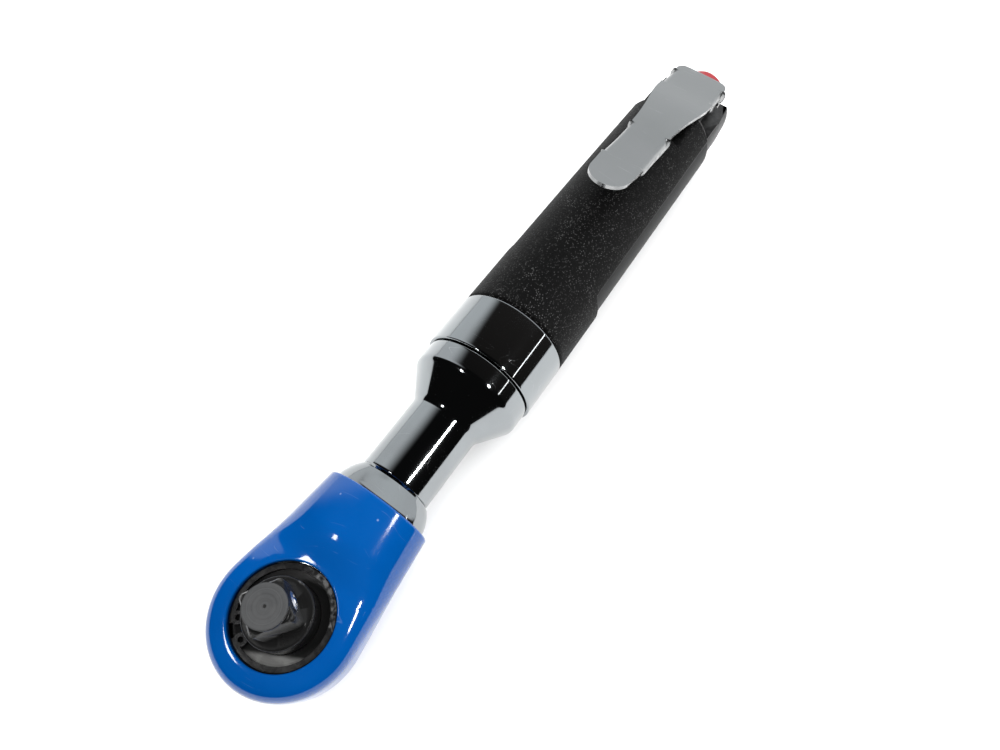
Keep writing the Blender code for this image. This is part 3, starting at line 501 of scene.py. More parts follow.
def make_specks():
    """Small scattered dots, such as dust, pits or bright grains."""
    wiring, given, out = new_effect("specks", {"Scale": 900.0, "Share": 0.1, "Size": 0.25}, "Mask")
    cells = wiring.add("ShaderNodeTexVoronoi", {"Vector": wiring.place(), "Scale": given["Scale"]})
    dot = wiring.ramp(cells.outputs["Distance"], 0.0, given["Size"], 1.0, 0.0)
    parts = wiring.add("ShaderNodeSeparateColor", {"Color": cells.outputs["Color"]})
    picked = wiring.math("LESS_THAN", parts.outputs[0], given["Share"])
    wiring.tree.links.new(wiring.math("MULTIPLY", dot, picked), out["Mask"])


def make_edge_wear():
    """Rubbed convex edges, broken up by noise."""
    wiring, given, out = new_effect("edge_wear", {"Start": 0.52, "End": 0.6, "Scale": 500.0}, "Mask")
    sharp = wiring.add("ShaderNodeNewGeometry").outputs["Pointiness"]
    edge = wiring.ramp(sharp, given["Start"], given["End"])
    noise = wiring.add(
        "ShaderNodeTexNoise", {"Vector": wiring.place(), "Scale": given["Scale"], "Detail": 3.0}
    )
    patch = wiring.ramp(noise.outputs["Fac"], 0.35, 0.65)
    wiring.tree.links.new(wiring.math("MULTIPLY", edge, patch), out["Mask"])


def make_lathe_marks():
    """Height of fine turning rings about an upright axis through the origin, or the handle's axis."""
    wiring, given, out = new_effect("lathe_marks", {"Pitch": 4000.0, "Along handle": 0.0}, "Height")
    parts = wiring.add("ShaderNodeSeparateXYZ", {"Vector": wiring.place()})
    upright = wiring.math("SUBTRACT", 1.0, given["Along handle"])
    first = wiring.math("MULTIPLY", parts.outputs["X"], upright)
    third = wiring.math("MULTIPLY", parts.outputs["Z"], given["Along handle"])
    flat = wiring.add("ShaderNodeCombineXYZ", {"X": first, "Y": parts.outputs["Y"], "Z": third})
    radius = wiring.add("ShaderNodeVectorMath", {0: flat.outputs[0]}, operation="LENGTH")
    turns = wiring.math("MULTIPLY", radius.outputs["Value"], given["Pitch"])
    settings = {"W": turns, "Scale": 1.0, "Detail": 3.0}
    uneven = wiring.add("ShaderNodeTexNoise", settings, noise_dimensions="1D")
    wiring.tree.links.new(uneven.outputs["Fac"], out["Height"])


def make_brushing():
    """Height of fine lines along the handle, as left by a grinding belt."""
    wiring, given, out = new_effect("brushing", {"Scale": 3000.0}, "Height")
    stretched = wiring.add(
        "ShaderNodeMapping", {"Vector": wiring.place(), "Scale": (0.02, 1.0, 1.0)}
    ).outputs[0]
    noise = wiring.add(
        "ShaderNodeTexNoise", {"Vector": stretched, "Scale": given["Scale"], "Detail": 4.0}
    )
    wiring.tree.links.new(noise.outputs["Fac"], out["Height"])


def new_finish(name, metallic=0.0, **values):
    """A material with a Principled shader; values are set straight on its sockets."""
    material = bpy.data.materials.new(name)
    material.use_nodes = True
    shader = material.node_tree.nodes["Principled BSDF"]
    shader.inputs["Metallic"].default_value = metallic
    for socket, value in values.items():
        shader.inputs[socket.replace("_", " ").title().replace("Ior", "IOR")].default_value = value
    return material, Wiring(material.node_tree), shader.inputs


def connect(wiring, shader, colour, roughness, height=None, strength=0.2, depth=0.05):
    """Links the worked-out colour, roughness and bump to the shader; depth is in millimetres."""
    wiring.tree.links.new(colour, shader["Base Color"])
    wiring.tree.links.new(roughness, shader["Roughness"])
    if height is not None:
        bump = wiring.add(
            "ShaderNodeBump", {"Height": height, "Strength": strength, "Distance": depth * MM}
        )
        wiring.tree.links.new(bump.outputs[0], shader["Normal"])


def grey(value, tint=(1.0, 1.0, 1.0)):
    return (value * tint[0], value * tint[1], value * tint[2], 1.0)


# ---------------------------------------------------------------- finishes


def blue_vinyl():
    """Glossy moulded boot, with faint waves, hairline scratches and a little dust."""
    material, wiring, shader = new_finish("blue_vinyl")
    depth = wiring.group("smudges", scale=45.0, edge=0.25)
    colour = wiring.mix(depth, (0.0, 0.053, 0.225, 1.0), (0.0, 0.06, 0.25, 1.0))
    lines = wiring.group("hairlines", scale=90.0, width=0.002)
    dust = wiring.group("specks", scale=700.0, share=0.008, size=0.3)
    marks = wiring.math("MAXIMUM", wiring.math("MULTIPLY", lines, 0.25), dust)
    worn = wiring.mix(wiring.math("MULTIPLY", marks, 0.35), colour, (0.35, 0.45, 0.6, 1.0))
    rough_marks = wiring.math("MAXIMUM", marks, wiring.math("MULTIPLY", depth, 0.2))
    roughness = wiring.ramp(rough_marks, 0.0, 1.0, 0.07, 0.4)
    waves = wiring.group("grain", scale=120.0, cells=0.0)
    connect(wiring, shader, worn, roughness, waves, 0.15, 0.05)
    return material


def bright_chrome():
    """Polished plating with hairlines, pits and handling smears."""
    material, wiring, shader = new_finish("bright_chrome", metallic=1.0)
    smear = wiring.group("smudges", scale=70.0, edge=0.15)
    lines = wiring.group("hairlines", scale=140.0, width=0.0025)
    pits = wiring.group("specks", scale=650.0, share=0.02, size=0.14)
    marks = wiring.math("MAXIMUM", wiring.math("MULTIPLY", lines, 0.4), pits)
    clean = wiring.mix(smear, grey(0.27, (0.94, 1.0, 1.03)), grey(0.25, (0.95, 1.0, 1.03)))
    colour = wiring.mix(wiring.math("MULTIPLY", marks, 0.35), clean, grey(0.75))
    haze = wiring.math("ADD", wiring.math("MULTIPLY", smear, 0.035), wiring.math("MULTIPLY", marks, 0.25))
    roughness = wiring.math("ADD", haze, 0.05)
    waves = wiring.group("grain", scale=160.0, cells=0.0)
    connect(wiring, shader, colour, roughness, waves, 0.06, 0.04)
    return material


def black_oxide(name="black_oxide", base=0.009, tone=0.34, metal=0.4):
    """Oiled black oxide over turned steel, with grey worn edges."""
    material, wiring, shader = new_finish(name, metallic=metal, specular_ior_level=0.2)
    rings = wiring.group("lathe_marks", pitch=3500.0)
    wear = wiring.group("edge_wear", start=0.53, end=0.62, scale=900.0)
    oil = wiring.group("smudges", scale=120.0, edge=0.2)
    dark = wiring.mix(rings, grey(base * 0.8), grey(base * 1.5))
    colour = wiring.mix(wiring.math("MULTIPLY", wear, 0.5), dark, grey(0.3))
    roughness = wiring.ramp(oil, 0.0, 1.0, tone - 0.08, tone + 0.06)
    connect(wiring, shader, colour, roughness, rings, 0.35, 0.02)
    return material


def washer_face():
    """Black washer under the snap ring, with a painted reflection: a dull grey crescent painted on its front
    side.
    """
    material, wiring, shader = new_finish("washer_face", metallic=0.3, specular_ior_level=0.3)
    rings = wiring.group("lathe_marks", pitch=2500.0)
    smear = wiring.group("smudges", scale=300.0, edge=0.2)
    # Painted reflection: the washer's front side is lightened to a dull grey crescent, as if lit by the pale
    # wall, and broken up by smudges.
    parts = wiring.add("ShaderNodeSeparateXYZ", {"Vector": wiring.place()})
    forward = wiring.math("MULTIPLY", parts.outputs["X"], -0.89)
    reach = wiring.math("ADD", forward, wiring.math("MULTIPLY", parts.outputs["Y"], -0.45))
    painted_reflection_mask = wiring.ramp(reach, 7.6 * MM, 8.8 * MM)
    painted_reflection_mask = wiring.math("MULTIPLY", painted_reflection_mask, wiring.ramp(smear, 0.0, 1.0, 0.7, 1.0))
    dark = wiring.mix(rings, grey(0.004), grey(0.009))
    light = wiring.mix(rings, grey(0.14, (1.0, 1.0, 0.97)), grey(0.2, (1.0, 1.0, 0.97)))
    colour = wiring.mix(painted_reflection_mask, dark, light)
    roughness = wiring.ramp(smear, 0.0, 1.0, 0.3, 0.42)
    connect(wiring, shader, colour, roughness, rings, 0.3, 0.02)
    return material


def tip_face():
    """Machined end of the drive: dark grey with visible turning rings."""
    material, wiring, shader = new_finish("tip_face", metallic=0.25)
    rings = wiring.group("lathe_marks", pitch=2200.0)
    coarse = wiring.group("lathe_marks", pitch=900.0)
    smear = wiring.group("smudges", scale=260.0, edge=0.2)
    toned = wiring.mix(rings, grey(0.012), grey(0.07, (0.97, 1.0, 1.04)))
    colour = wiring.mix(wiring.math("MULTIPLY", smear, 0.35), toned, grey(0.07))
    roughness = wiring.ramp(rings, 0.3, 0.7, 0.42, 0.58)
    connect(wiring, shader, colour, roughness, wiring.math("ADD", rings, coarse), 0.5, 0.03)
    return material


def grip_rubber():
    """Sleeve of charcoal rubber with a sparkling fine grain; smoother along the side bands."""
    material, wiring, shader = new_finish("grip_rubber", specular_ior_level=0.12)
    parts = wiring.add("ShaderNodeSeparateXYZ", {"Vector": wiring.place()})
    side = wiring.math("ABSOLUTE", parts.outputs["Y"])
    top = wiring.math("ABSOLUTE", parts.outputs["Z"])
    slant = wiring.math("ARCTAN2", top, side)
    in_band = wiring.ramp(slant, math.radians(BAND_ANGLE - 3.0), math.radians(BAND_ANGLE), 1.0, 0.0)
    behind = wiring.ramp(parts.outputs["X"], (BAND_START - 0.5) * MM, (BAND_START + 1.5) * MM)
    smooth = wiring.math("MULTIPLY", in_band, behind)
    sparkle = wiring.group("specks", scale=2300.0, share=0.4, size=0.5)
    patches = wiring.group("smudges", scale=85.0, edge=0.2)
    sparkle = wiring.math("MULTIPLY", sparkle, wiring.ramp(patches, 0.0, 1.0, 0.35, 1.0))
    sparkle = wiring.math("MULTIPLY", sparkle, wiring.ramp(smooth, 0.0, 1.0, 1.0, 0.12))
    tone = wiring.mix(smooth, grey(0.0012), grey(0.006, (1.0, 1.0, 1.04)))
    colour = wiring.mix(sparkle, tone, grey(0.1))
    roughness = wiring.ramp(smooth, 0.0, 1.0, 0.62, 0.5)
    grain = wiring.group("grain", scale=2100.0, cells=0.7)
    height = wiring.math("MULTIPLY", grain, wiring.ramp(smooth, 0.0, 1.0, 1.0, 0.25))
    connect(wiring, shader, colour, roughness, height, 0.55, 0.16)
    return material


def black_housing():
    """Fine-cast body under black paint, worn at its corners."""
    material, wiring, shader = new_finish("black_housing", specular_ior_level=0.25)
    wear = wiring.group("edge_wear", start=0.54, end=0.64, scale=600.0)
    patches = wiring.group("smudges", scale=90.0, edge=0.2)
    paint = wiring.mix(patches, grey(0.002), grey(0.004))
    colour = wiring.mix(wiring.math("MULTIPLY", wear, 0.3), paint, grey(0.06))
    roughness = wiring.ramp(patches, 0.0, 1.0, 0.38, 0.5)
    grain = wiring.group("grain", scale=1300.0, cells=0.3)
    connect(wiring, shader, colour, roughness, grain, 0.3, 0.08)
    return material


def lever_steel():
    """Stamped steel with a satin plating, brushed along its length and bright on its edges."""
    material, wiring, shader = new_finish("lever_steel", metallic=1.0)
    wear = wiring.group("edge_wear", start=0.53, end=0.6, scale=300.0)
    cloud = wiring.group("smudges", scale=55.0, edge=0.3)
    lines = wiring.group("hairlines", scale=110.0, width=0.003)
    satin = wiring.mix(cloud, grey(0.235, (0.97, 1.0, 1.0)), grey(0.255, (0.98, 1.0, 1.01)))
    marked = wiring.mix(wiring.math("MULTIPLY", lines, 0.3), satin, grey(0.45))
    colour = wiring.mix(wiring.math("MULTIPLY", wear, 0.6), marked, grey(0.4))
    matt = wiring.ramp(cloud, 0.0, 1.0, 0.3, 0.36)
    roughness = wiring.math("SUBTRACT", matt, wiring.math("MULTIPLY", wear, 0.14))
    brushing = wiring.group("brushing", scale=2600.0)
    connect(wiring, shader, colour, roughness, brushing, 0.12, 0.02)
    return material


def red_plastic():
    material, wiring, shader = new_finish("red_plastic", subsurface_weight=0.05)
    patches = wiring.group("smudges", scale=160.0, edge=0.2)
    colour = wiring.mix(patches, (0.22, 0.008, 0.013, 1.0), (0.27, 0.01, 0.016, 1.0))
    wear = wiring.group("edge_wear", start=0.53, end=0.6, scale=500.0)
    worn = wiring.mix(wiring.math("MULTIPLY", wear, 0.3), colour, (0.75, 0.25, 0.25, 1.0))
    roughness = wiring.ramp(patches, 0.0, 1.0, 0.3, 0.42)
    connect(wiring, shader, worn, roughness, wiring.group("grain", scale=900.0, cells=0.2), 0.15, 0.03)
    return material


def bare_metal(name, low, high, roughness_range, pitch=3000.0, along_handle=1.0, bump=0.3):
    """Machined metal: tool marks, oil smears and lighter worn edges."""
    material, wiring, shader = new_finish(name, metallic=1.0)
    marks = wiring.group("lathe_marks", pitch=pitch, along_handle=along_handle)
    smear = wiring.group("smudges", scale=150.0, edge=0.2)
    wear = wiring.group("edge_wear", start=0.53, end=0.6, scale=700.0)
    colour = wiring.mix(marks, low, high)
    lighter = tuple(min(1.0, channel * 1.3) for channel in high[:3]) + (1.0,)
    worn = wiring.mix(wiring.math("MULTIPLY", wear, 0.6), colour, lighter)
    roughness = wiring.ramp(smear, 0.0, 1.0, *roughness_range)
    connect(wiring, shader, worn, roughness, marks, bump, 0.015)
    return material


def moulded(name, low, high, roughness_range, scale):
    """Rubber or pressed fibre: mottled, with a fine grain."""
    material, wiring, shader = new_finish(name)
    mottle = wiring.group("smudges", scale=scale, edge=0.2)
    grain = wiring.group("grain", scale=scale * 8, cells=0.4)
    colour = wiring.mix(mottle, low, high)
    roughness = wiring.ramp(grain, 0.2, 0.8, *roughness_range)
    connect(wiring, shader, colour, roughness, grain, 0.3, 0.03)
    return material


def make_finishes():
    for make_effect in (
        make_smudges,
        make_hairlines,
        make_grain,
        make_specks,
        make_edge_wear,
        make_lathe_marks,
        make_brushing,
    ):
        make_effect()
    return {
        "blue_boot": blue_vinyl(),
        "chrome": bright_chrome(),
        "black_oxide": black_oxide(),
        "tip_face": tip_face(),
        "washer_face": washer_face(),
        "grip_rubber": grip_rubber(),
        "black_housing": black_housing(),
        "lever_steel": lever_steel(),
        "plug_red": red_plastic(),
        "steel": bare_metal("machined_steel", grey(0.42), grey(0.52), (0.22, 0.34)),
        "ball_steel": bare_metal("ball_steel", grey(0.6), grey(0.64), (0.08, 0.16), 1200.0, 0.0, 0.05),
        "spring_steel": bare_metal("spring_steel", grey(0.3), grey(0.4), (0.25, 0.4), 1500.0),
        "brass": bare_metal("brass", (0.5, 0.34, 0.12, 1.0), (0.62, 0.43, 0.17, 1.0), (0.22, 0.36)),
        "cast_iron": bare_metal("cast_iron", grey(0.16), grey(0.24), (0.4, 0.58), 1800.0, 1.0, 0.6),
        "vane_composite": moulded(
            "vane_composite", (0.2, 0.1, 0.04, 1.0), (0.28, 0.15, 0.07, 1.0), (0.5, 0.7), 200.0
        ),
        "seal_rubber": moulded("seal_rubber", grey(0.012), grey(0.02), (0.45, 0.6), 300.0),
    }


# ---------------------------------------------------------------- head form


RIB_HALF = 64
FRONT_ARC = 128
SPOKE_STEPS = 18


def head_section(place, inset):
    """Half-width, top, bottom and squareness of the head at a place along the handle."""
    width = math.sqrt(1 + SIDE_SLOPE**2) * HEAD_RADIUS - SIDE_SLOPE * max(place, 0.0)
    tangent = HEAD_RADIUS * math.sin(math.atan(SIDE_SLOPE))
    if place < tangent:
        width = math.sqrt(HEAD_RADIUS**2 - max(place, 0.0) ** 2)
    rise = smoothstep(11.0, 21.5, place)
    top = HEAD_TOP + (REAR_HALF_HEIGHT - HEAD_TOP) * rise - inset
    bottom = HEAD_BOTTOM - (REAR_HALF_HEIGHT + HEAD_BOTTOM) * rise + inset
    power = 4.2 - 2.25 * smoothstep(1.0, 20.0, place)
    return width - inset, top, bottom, power


def oval_point(power, angle):
    """Point of a unit superellipse in the direction of an angle."""
    across = abs(math.cos(angle))
    upward = abs(math.sin(angle))
    reach = (across**power + upward**power) ** (-1.0 / power)
    return math.copysign(across * reach, math.cos(angle)), math.copysign(upward * reach, math.sin(angle))


def section_ring(place, width, top, bottom, power):
    """Closed cross-section, from the +Y side over the top and back under the bottom."""
    points = []
    for step in range(2 * RIB_HALF):
        out, upward = oval_point(power, math.pi * step / RIB_HALF)
        if step in (0, RIB_HALF):
            upward = 0.0
        points.append((place, width * out, upward * (top if upward > 0 else -bottom)))
    return points


def skin_height(x, y, inset, upper):
    """Height of the head's upper or lower skin over a point of its plan."""
    width, top, bottom, power = head_section(max(x, 0.0), inset)
    share = math.hypot(x, y) / width if x < 0 else abs(y) / width
    level = max(0.0, 1.0 - share**power) ** (1.0 / power)
    return (top if upper else bottom) * level


def outline_reach(angle, inset):
    """Distance from the drive's axis to the head's outline in a direction of its plan."""
    low, high = 0.0, 40.0
    for _ in range(40):
        middle = (low + high) / 2
        x = middle * math.cos(angle)
        y = middle * math.sin(angle)
        width = head_section(max(x, 0.0), inset)[0]
        inside = math.hypot(x, y) < width if x < 0 else abs(y) < width
        low, high = (middle, high) if inside else (low, middle)
    return low


def face_loops(mesh_data, outer, rim_radius, lip, inset, upper):
    """Covers one face of the head from its outline to its round opening, and returns the rim."""
    power = head_section(0.0, inset)[3]
    first_share = (rim_radius + lip) / (HEAD_RADIUS - inset)
    first_angle = math.atan2((1 - first_share**power) ** (1 / power), first_share)
    loops = [outer]
    for step in range(1, SPOKE_STEPS + 1):
        share = oval_point(power, first_angle * step / SPOKE_STEPS)[0]
        share = (share - first_share) / (1 - first_share)
        points = []
        for vertex in outer:
            plan = Vector((vertex.co.x, vertex.co.y))
            rim = plan.normalized() * (rim_radius + lip)
            spot = rim.lerp(plan, share)
            points.append((spot.x, spot.y, skin_height(spot.x, spot.y, inset, upper)))
        loops.append(add_ring(mesh_data, points))
    rim_steps = 5 if lip else 0
    sign = 1 if upper else -1
    for step in range(1, rim_steps + 1):
        angle = math.pi / 2 * step / rim_steps
        points = []
        for vertex in loops[SPOKE_STEPS]:
            spot = Vector((vertex.co.x, vertex.co.y)).normalized()
            spot *= rim_radius + lip * (1 - math.sin(angle))
            points.append((spot.x, spot.y, vertex.co.z - sign * lip * (1 - math.cos(angle))))
        loops.append(add_ring(mesh_data, points))
    for first, second in zip(loops, loops[1:]):
        join_rings(mesh_data, first, second)
    return loops[-1]


def head_skin(mesh_data, inset, lip, openings, places):
    """Skin of the head back to the last place; returns the top rim, bottom rim and rear ring."""
    split = add_ring(mesh_data, section_ring(HEAD_SPLIT, *head_section(HEAD_SPLIT, inset)))
    corner = math.atan2(head_section(HEAD_SPLIT, inset)[0], HEAD_SPLIT)
    front = []
    for step in range(1, FRONT_ARC):
        angle = -corner - (2 * math.pi - 2 * corner) * step / FRONT_ARC
        reach = outline_reach(angle, inset)
        front.append((reach * math.cos(angle), reach * math.sin(angle), 0.0))
    front = add_ring(mesh_data, front)
    upper = split[: RIB_HALF + 1] + front
    lower = split[RIB_HALF:] + [split[0]] + front[::-1]
    top_rim = face_loops(mesh_data, upper, openings[0], lip, inset, True)
    bottom_rim = face_loops(mesh_data, lower, openings[1], lip, inset, False)
    previous = split
    for place, edge in places:
        ring = add_ring(mesh_data, section_ring(place, *head_section(place, inset + edge)))
        join_rings(mesh_data, previous, ring)
        previous = ring
    return top_rim, bottom_rim, previous


def by_angle(loop):
    return sorted(loop, key=lambda vertex: math.atan2(vertex.co.y, vertex.co.x))


def spaced(start, stop, count):
    return [start + (stop - start) * step / count for step in range(count + 1)]


def make_boot(finishes):
    """Slip-on cover: outer skin, rounded lips at its three openings, and inner skin."""
    edge = 0.55
    mesh_data = bmesh.new()
    places = [(place, 0.0) for place in spaced(HEAD_SPLIT, BOOT_REAR - edge, 40)[1:]]
    for step in range(1, 6):
        angle = math.pi / 2 * step / 5
        places.append((BOOT_REAR - edge + edge * math.sin(angle), edge * (1 - math.cos(angle))))
    openings = (OPENING_RADIUS, KNOB_OPENING_RADIUS)
    outer = head_skin(mesh_data, 0.0, 0.45, openings, places)
    inner_places = [(place, 0.0) for place in spaced(HEAD_SPLIT, BOOT_REAR, 10)[1:]]
    inner = head_skin(mesh_data, BOOT_WALL, 0.0, openings, inner_places)
    for outer_loop, inner_loop in zip(outer[:2], inner[:2]):
        join_rings(mesh_data, outer_loop, inner_loop)
    join_rings(mesh_data, outer[2], inner[2])
    add_piece("boot", mesh_data, "tool_body", finishes["blue_boot"], ["protective_boot"], 50.0)


def make_housing(finishes):
    """Head under the boot, shoulder, neck, cone and threaded spigot, bored for head and crank."""
    inset = BOOT_WALL + SKIN_GAP
    mesh_data = bmesh.new()
    shoulder_start = BOOT_REAR - 0.9
    places = [(place, 0.0) for place in spaced(HEAD_SPLIT, shoulder_start, 20)[1:]]
    floor_hole = 6.7
    top_rim, bottom_rim, ring = head_skin(mesh_data, inset, 0.3, (HEAD_BORE_RADIUS, floor_hole), places)
    shoulder = (
        (shoulder_start, *head_section(shoulder_start, inset)),
        (BOOT_REAR, 13.3, 10.28, -10.28, 2.0),
        (34.3, 13.05, 9.96, -9.96, 2.0),
        (35.7, 12.6, 9.6, -9.6, 2.0),
        (37.3, 11.8, 9.22, -9.22, 2.0),
        (38.8, 10.7, 8.9, -8.9, 2.0),
    )
    sections = []
    for place in spaced(shoulder_start, 38.8, 26)[1:]:
        values = [along_points([(row[0], row[index]) for row in shoulder], place) for index in range(1, 5)]
        sections.append((place, *values))
    cone_slope = (CONE_RADIUS - NECK_RADIUS) / (CONE_END - CONE_START)
    barrel = rounded(
        [
            (38.8, 8.9),
            (39.5, NECK_RADIUS, 0.25),
            (40.2, NECK_RADIUS),
            (CONE_START - 1.2, NECK_RADIUS),
            (CONE_START, NECK_RADIUS, 1.1),
            (CONE_START + 1.2, NECK_RADIUS + 1.2 * cone_slope),
            (CONE_END - 1.2, CONE_RADIUS - 1.2 * cone_slope),
            (CONE_END, CONE_RADIUS, 1.0),
            (CONE_END + 1.2, CONE_RADIUS),
            (75.5, CONE_RADIUS),
            (76.25, CONE_RADIUS, 0.35),
            (76.25, SPIGOT_RADIUS, 0.1),
            (HOUSING_END, SPIGOT_RADIUS, 0.3),
            (HOUSING_END, 13.8),
        ]
    )
    for place, radius in barrel[1:]:
        sections.append((place, radius, radius, -radius, 2.0))
    previous = ring
    for section in sections:
        following = add_ring(mesh_data, section_ring(*section))
        join_rings(mesh_data, previous, following)
        previous = following
    mesh_data.faces.new(previous)
    bore = [
        (HEAD_BORE_RADIUS, 7.3),
        (HEAD_BORE_RADIUS, 7.15),
        (HEAD_BORE_RADIUS + 0.6, 7.15),
        (HEAD_BORE_RADIUS + 0.6, 6.0),
        (HEAD_BORE_RADIUS, 6.0),
        (HEAD_BORE_RADIUS, HEAD_BORE_FLOOR),
        (floor_hole, HEAD_BORE_FLOOR),
    ]
    angles = [math.atan2(vertex.co.y, vertex.co.x) for vertex in by_angle(top_rim)]
    previous = by_angle(top_rim)
    for radius, height in bore:
        points = [(radius * math.cos(angle), radius * math.sin(angle), height) for angle in angles]
        following = add_ring(mesh_data, points)
        join_rings(mesh_data, previous, following)
        previous = following
    join_rings(mesh_data, previous, by_angle(bottom_rim))
    housing = add_piece(
        "housing", mesh_data, "tool_body", finishes["chrome"], ["ratchet_housing"], 32.0
    )
    cut(housing, block((5.0, -8.9, -4.9), (28.0, 8.9, 4.9)))
    crank_bore = [
        (25.0, 7.6),
        (62.0, 7.6),
        (66.3, 11.2),
        (71.3, 11.2),
        (71.3, 13.75),
        (HOUSING_END + 2.0, 13.75),
    ]
    cut(housing, turned(crank_bore, "X", FINE))


# ---------------------------------------------------------------- handle


def make_nut(finishes):
    corners = [
        (NUT_START, SPIGOT_RADIUS + 0.3),
        (NUT_START, NUT_RADIUS, 0.45),
        (NUT_START + 0.8, NUT_RADIUS),
        (NUT_END - 0.8, NUT_RADIUS),
        (NUT_END - 0.3, NUT_RADIUS, 0.15),
        (NUT_END, NUT_RADIUS - 0.3, 0.1),
        (NUT_END, BODY_RADIUS + 0.3),
        (NUT_END - 2.2, BODY_RADIUS + 0.3),
        (NUT_END - 2.2, SPIGOT_RADIUS + 0.3),
    ]
    nut_shape = turned(rounded(corners), ring=True)
    add_piece("nut", nut_shape, "tool_body", finishes["chrome"], ["clamp_nut"])


def grip_radius(place, degrees):
    """Outer radius of the sleeve, with a shallow band moulded along each side."""
    corners = [
        (GRIP_START, 16.0),
        (GRIP_START + 0.6, 16.6),
        (BAND_START, 16.5),
        (150.0, 16.1),
        (GRIP_END - 0.6, 15.5),
    ]
    radius = 14.9 + 0.6 * math.sqrt(max(0.0, min(1.0, (GRIP_END - place) / 0.6)))
    for (x_low, r_low), (x_high, r_high) in zip(corners, corners[1:]):
        if x_low <= place <= x_high:
            radius = r_low + (r_high - r_low) * (place - x_low) / (x_high - x_low)
    from_side = abs((degrees + 90.0) % 180.0 - 90.0)
    inward = math.radians(BAND_ANGLE - from_side) * radius
    behind = place - BAND_START
    corner = 3.0
    inside = min(inward, behind)
    if 0 < inward < corner and 0 < behind < corner:
        inside = corner - math.hypot(corner - inward, corner - behind)
    floor = 15.75 - 0.75 * (place - BAND_START) / (GRIP_END + 1 - BAND_START)
    return radius - (radius - floor) * smoothstep(0.0, 0.9, inside)


def make_grip(finishes):
    mesh_data = bmesh.new()
    places = spaced(GRIP_START, GRIP_START + 0.6, 4) + spaced(GRIP_START + 1.5, BAND_START - 1.0, 16)
    places += spaced(BAND_START - 0.2, BAND_START + 4.0, 20) + spaced(BAND_START + 5.0, GRIP_END - 0.8, 60)
    places += spaced(GRIP_END - 0.6, GRIP_END, 6)
    segments = 240
    rings = []
    for place in places:
        points = []
        for step in range(segments):
            degrees = 360 * step / segments
            points.append(axis_point("X", place, polar(grip_radius(place, degrees), degrees)))
        rings.append(add_ring(mesh_data, points))
    for place in (GRIP_END, GRIP_START):
        points = []
        for step in range(segments):
            points.append(axis_point("X", place, polar(GRIP_BORE_RADIUS, 360 * step / segments)))
        rings.append(add_ring(mesh_data, points))
    for first, second in zip(rings, rings[1:] + rings[:1]):
        join_rings(mesh_data, first, second)
    grip = add_piece(
        "grip", mesh_data, "tool_body", finishes["grip_rubber"], ["grip_sleeve"], 50.0
    )
    cut(grip, block((FLAT_START, -12, FLAT_HEIGHT), (GRIP_END + 1, 12, 20)))


def make_body(finishes):
    """Rear of the motor housing, with the lever's lugs, the flat for the valve and the ports."""
    corners = [
        (BODY_START, 0.0),
        (BODY_START, SPIGOT_RADIUS),
        (90.5, SPIGOT_RADIUS),
        (90.5, BODY_RADIUS),
        (TAPER_START, BODY_RADIUS, 1.0),
        (BODY_END, TAPER_RADIUS, 0.5),
        (BODY_END, 0.0),
    ]
    body_shape = turned(rounded(corners), "X", FINE)
    finish = finishes["black_housing"]
    body = add_piece("body", body_shape, "tool_body", finish, ["motor_housing"])
    cut(body, rod("X", BODY_START - 2, 138.0, 12.0))
    cut(body, block((LUG_START, -20, LUG_TOP), (BODY_END + 2, 20, 20)))
    cut(body, block((LUG_REAR, -20, LUG_REAR_TOP), (BODY_END + 2, 20, 20)))
    cut(body, block((FLAT_START, -20, FLAT_HEIGHT), (LUG_START + 1, 20, 20)))
    for side in (-1, 1):
        near, far = sorted((side * LUG_HALF_WIDTH, side * 20.0))
        cut(body, block((SHELF_START, near, SHELF_HEIGHT), (BODY_END + 2, far, 20)))
    inlet = rod("X", 189.5, BODY_END + 2, 7.9)
    cut(body, inlet)
    valve_bore = [(-16.0, 4.2), (2.5, 4.2), (2.5, 2.9), (16.0, 2.9)]
    cut(body, turned(valve_bore, "Z", SMALL, centre=(VALVE_X, 0, 0)))
    for across, height in ((-10.2, -1.5), (-8.3, -6.5), (8.3, -6.5), (10.2, -1.5)):
        cut(body, rod("X", 137.0, BODY_END + 2, 1.6, (0, across, height), 32))
    cut(body, rod("Y", -12, 12, PIN_RADIUS + 0.1, (PIVOT_X, 0, PIVOT_Z), 32))
    round_edges(body, 0.35, 45.0)
    bake_modifiers(body)


# ---------------------------------------------------------------- throttle


def lever_flange(place):
    """(share of the fold, length below the fold) of the lever's side flange at a place."""
    mid = smoothstep(147.5, 148.6, place) * (1 - smoothstep(165.4, 166.5, place))
    ear = smoothstep(193.9, 195.0, place) * (1 - smoothstep(204.2, 205.4, place))
    mid_length = 1.3 + 0.5 * smoothstep(150.0, 165.0, place)
    lobe = math.sqrt(max(0.0, 1 - ((place - PIVOT_X) / 7.0) ** 2))
    return max(mid, ear), mid * mid_length + ear * (1.0 + 2.6 * lobe)


def lever_half_width(place):
    nose = LEVER_HEIGHTS[0][0] + NOSE_RADIUS
    if place < nose:
        return math.sqrt(max(NOSE_RADIUS**2 - (nose - place) ** 2, 0.0))
    width = along_points(LEVER_WIDTHS, place)
    corner = 3.2
    rear = LEVER_HEIGHTS[-1][0] - corner
    if place > rear:
        width -= corner - math.sqrt(max(corner**2 - (place - rear) ** 2, 0.0))
    return width


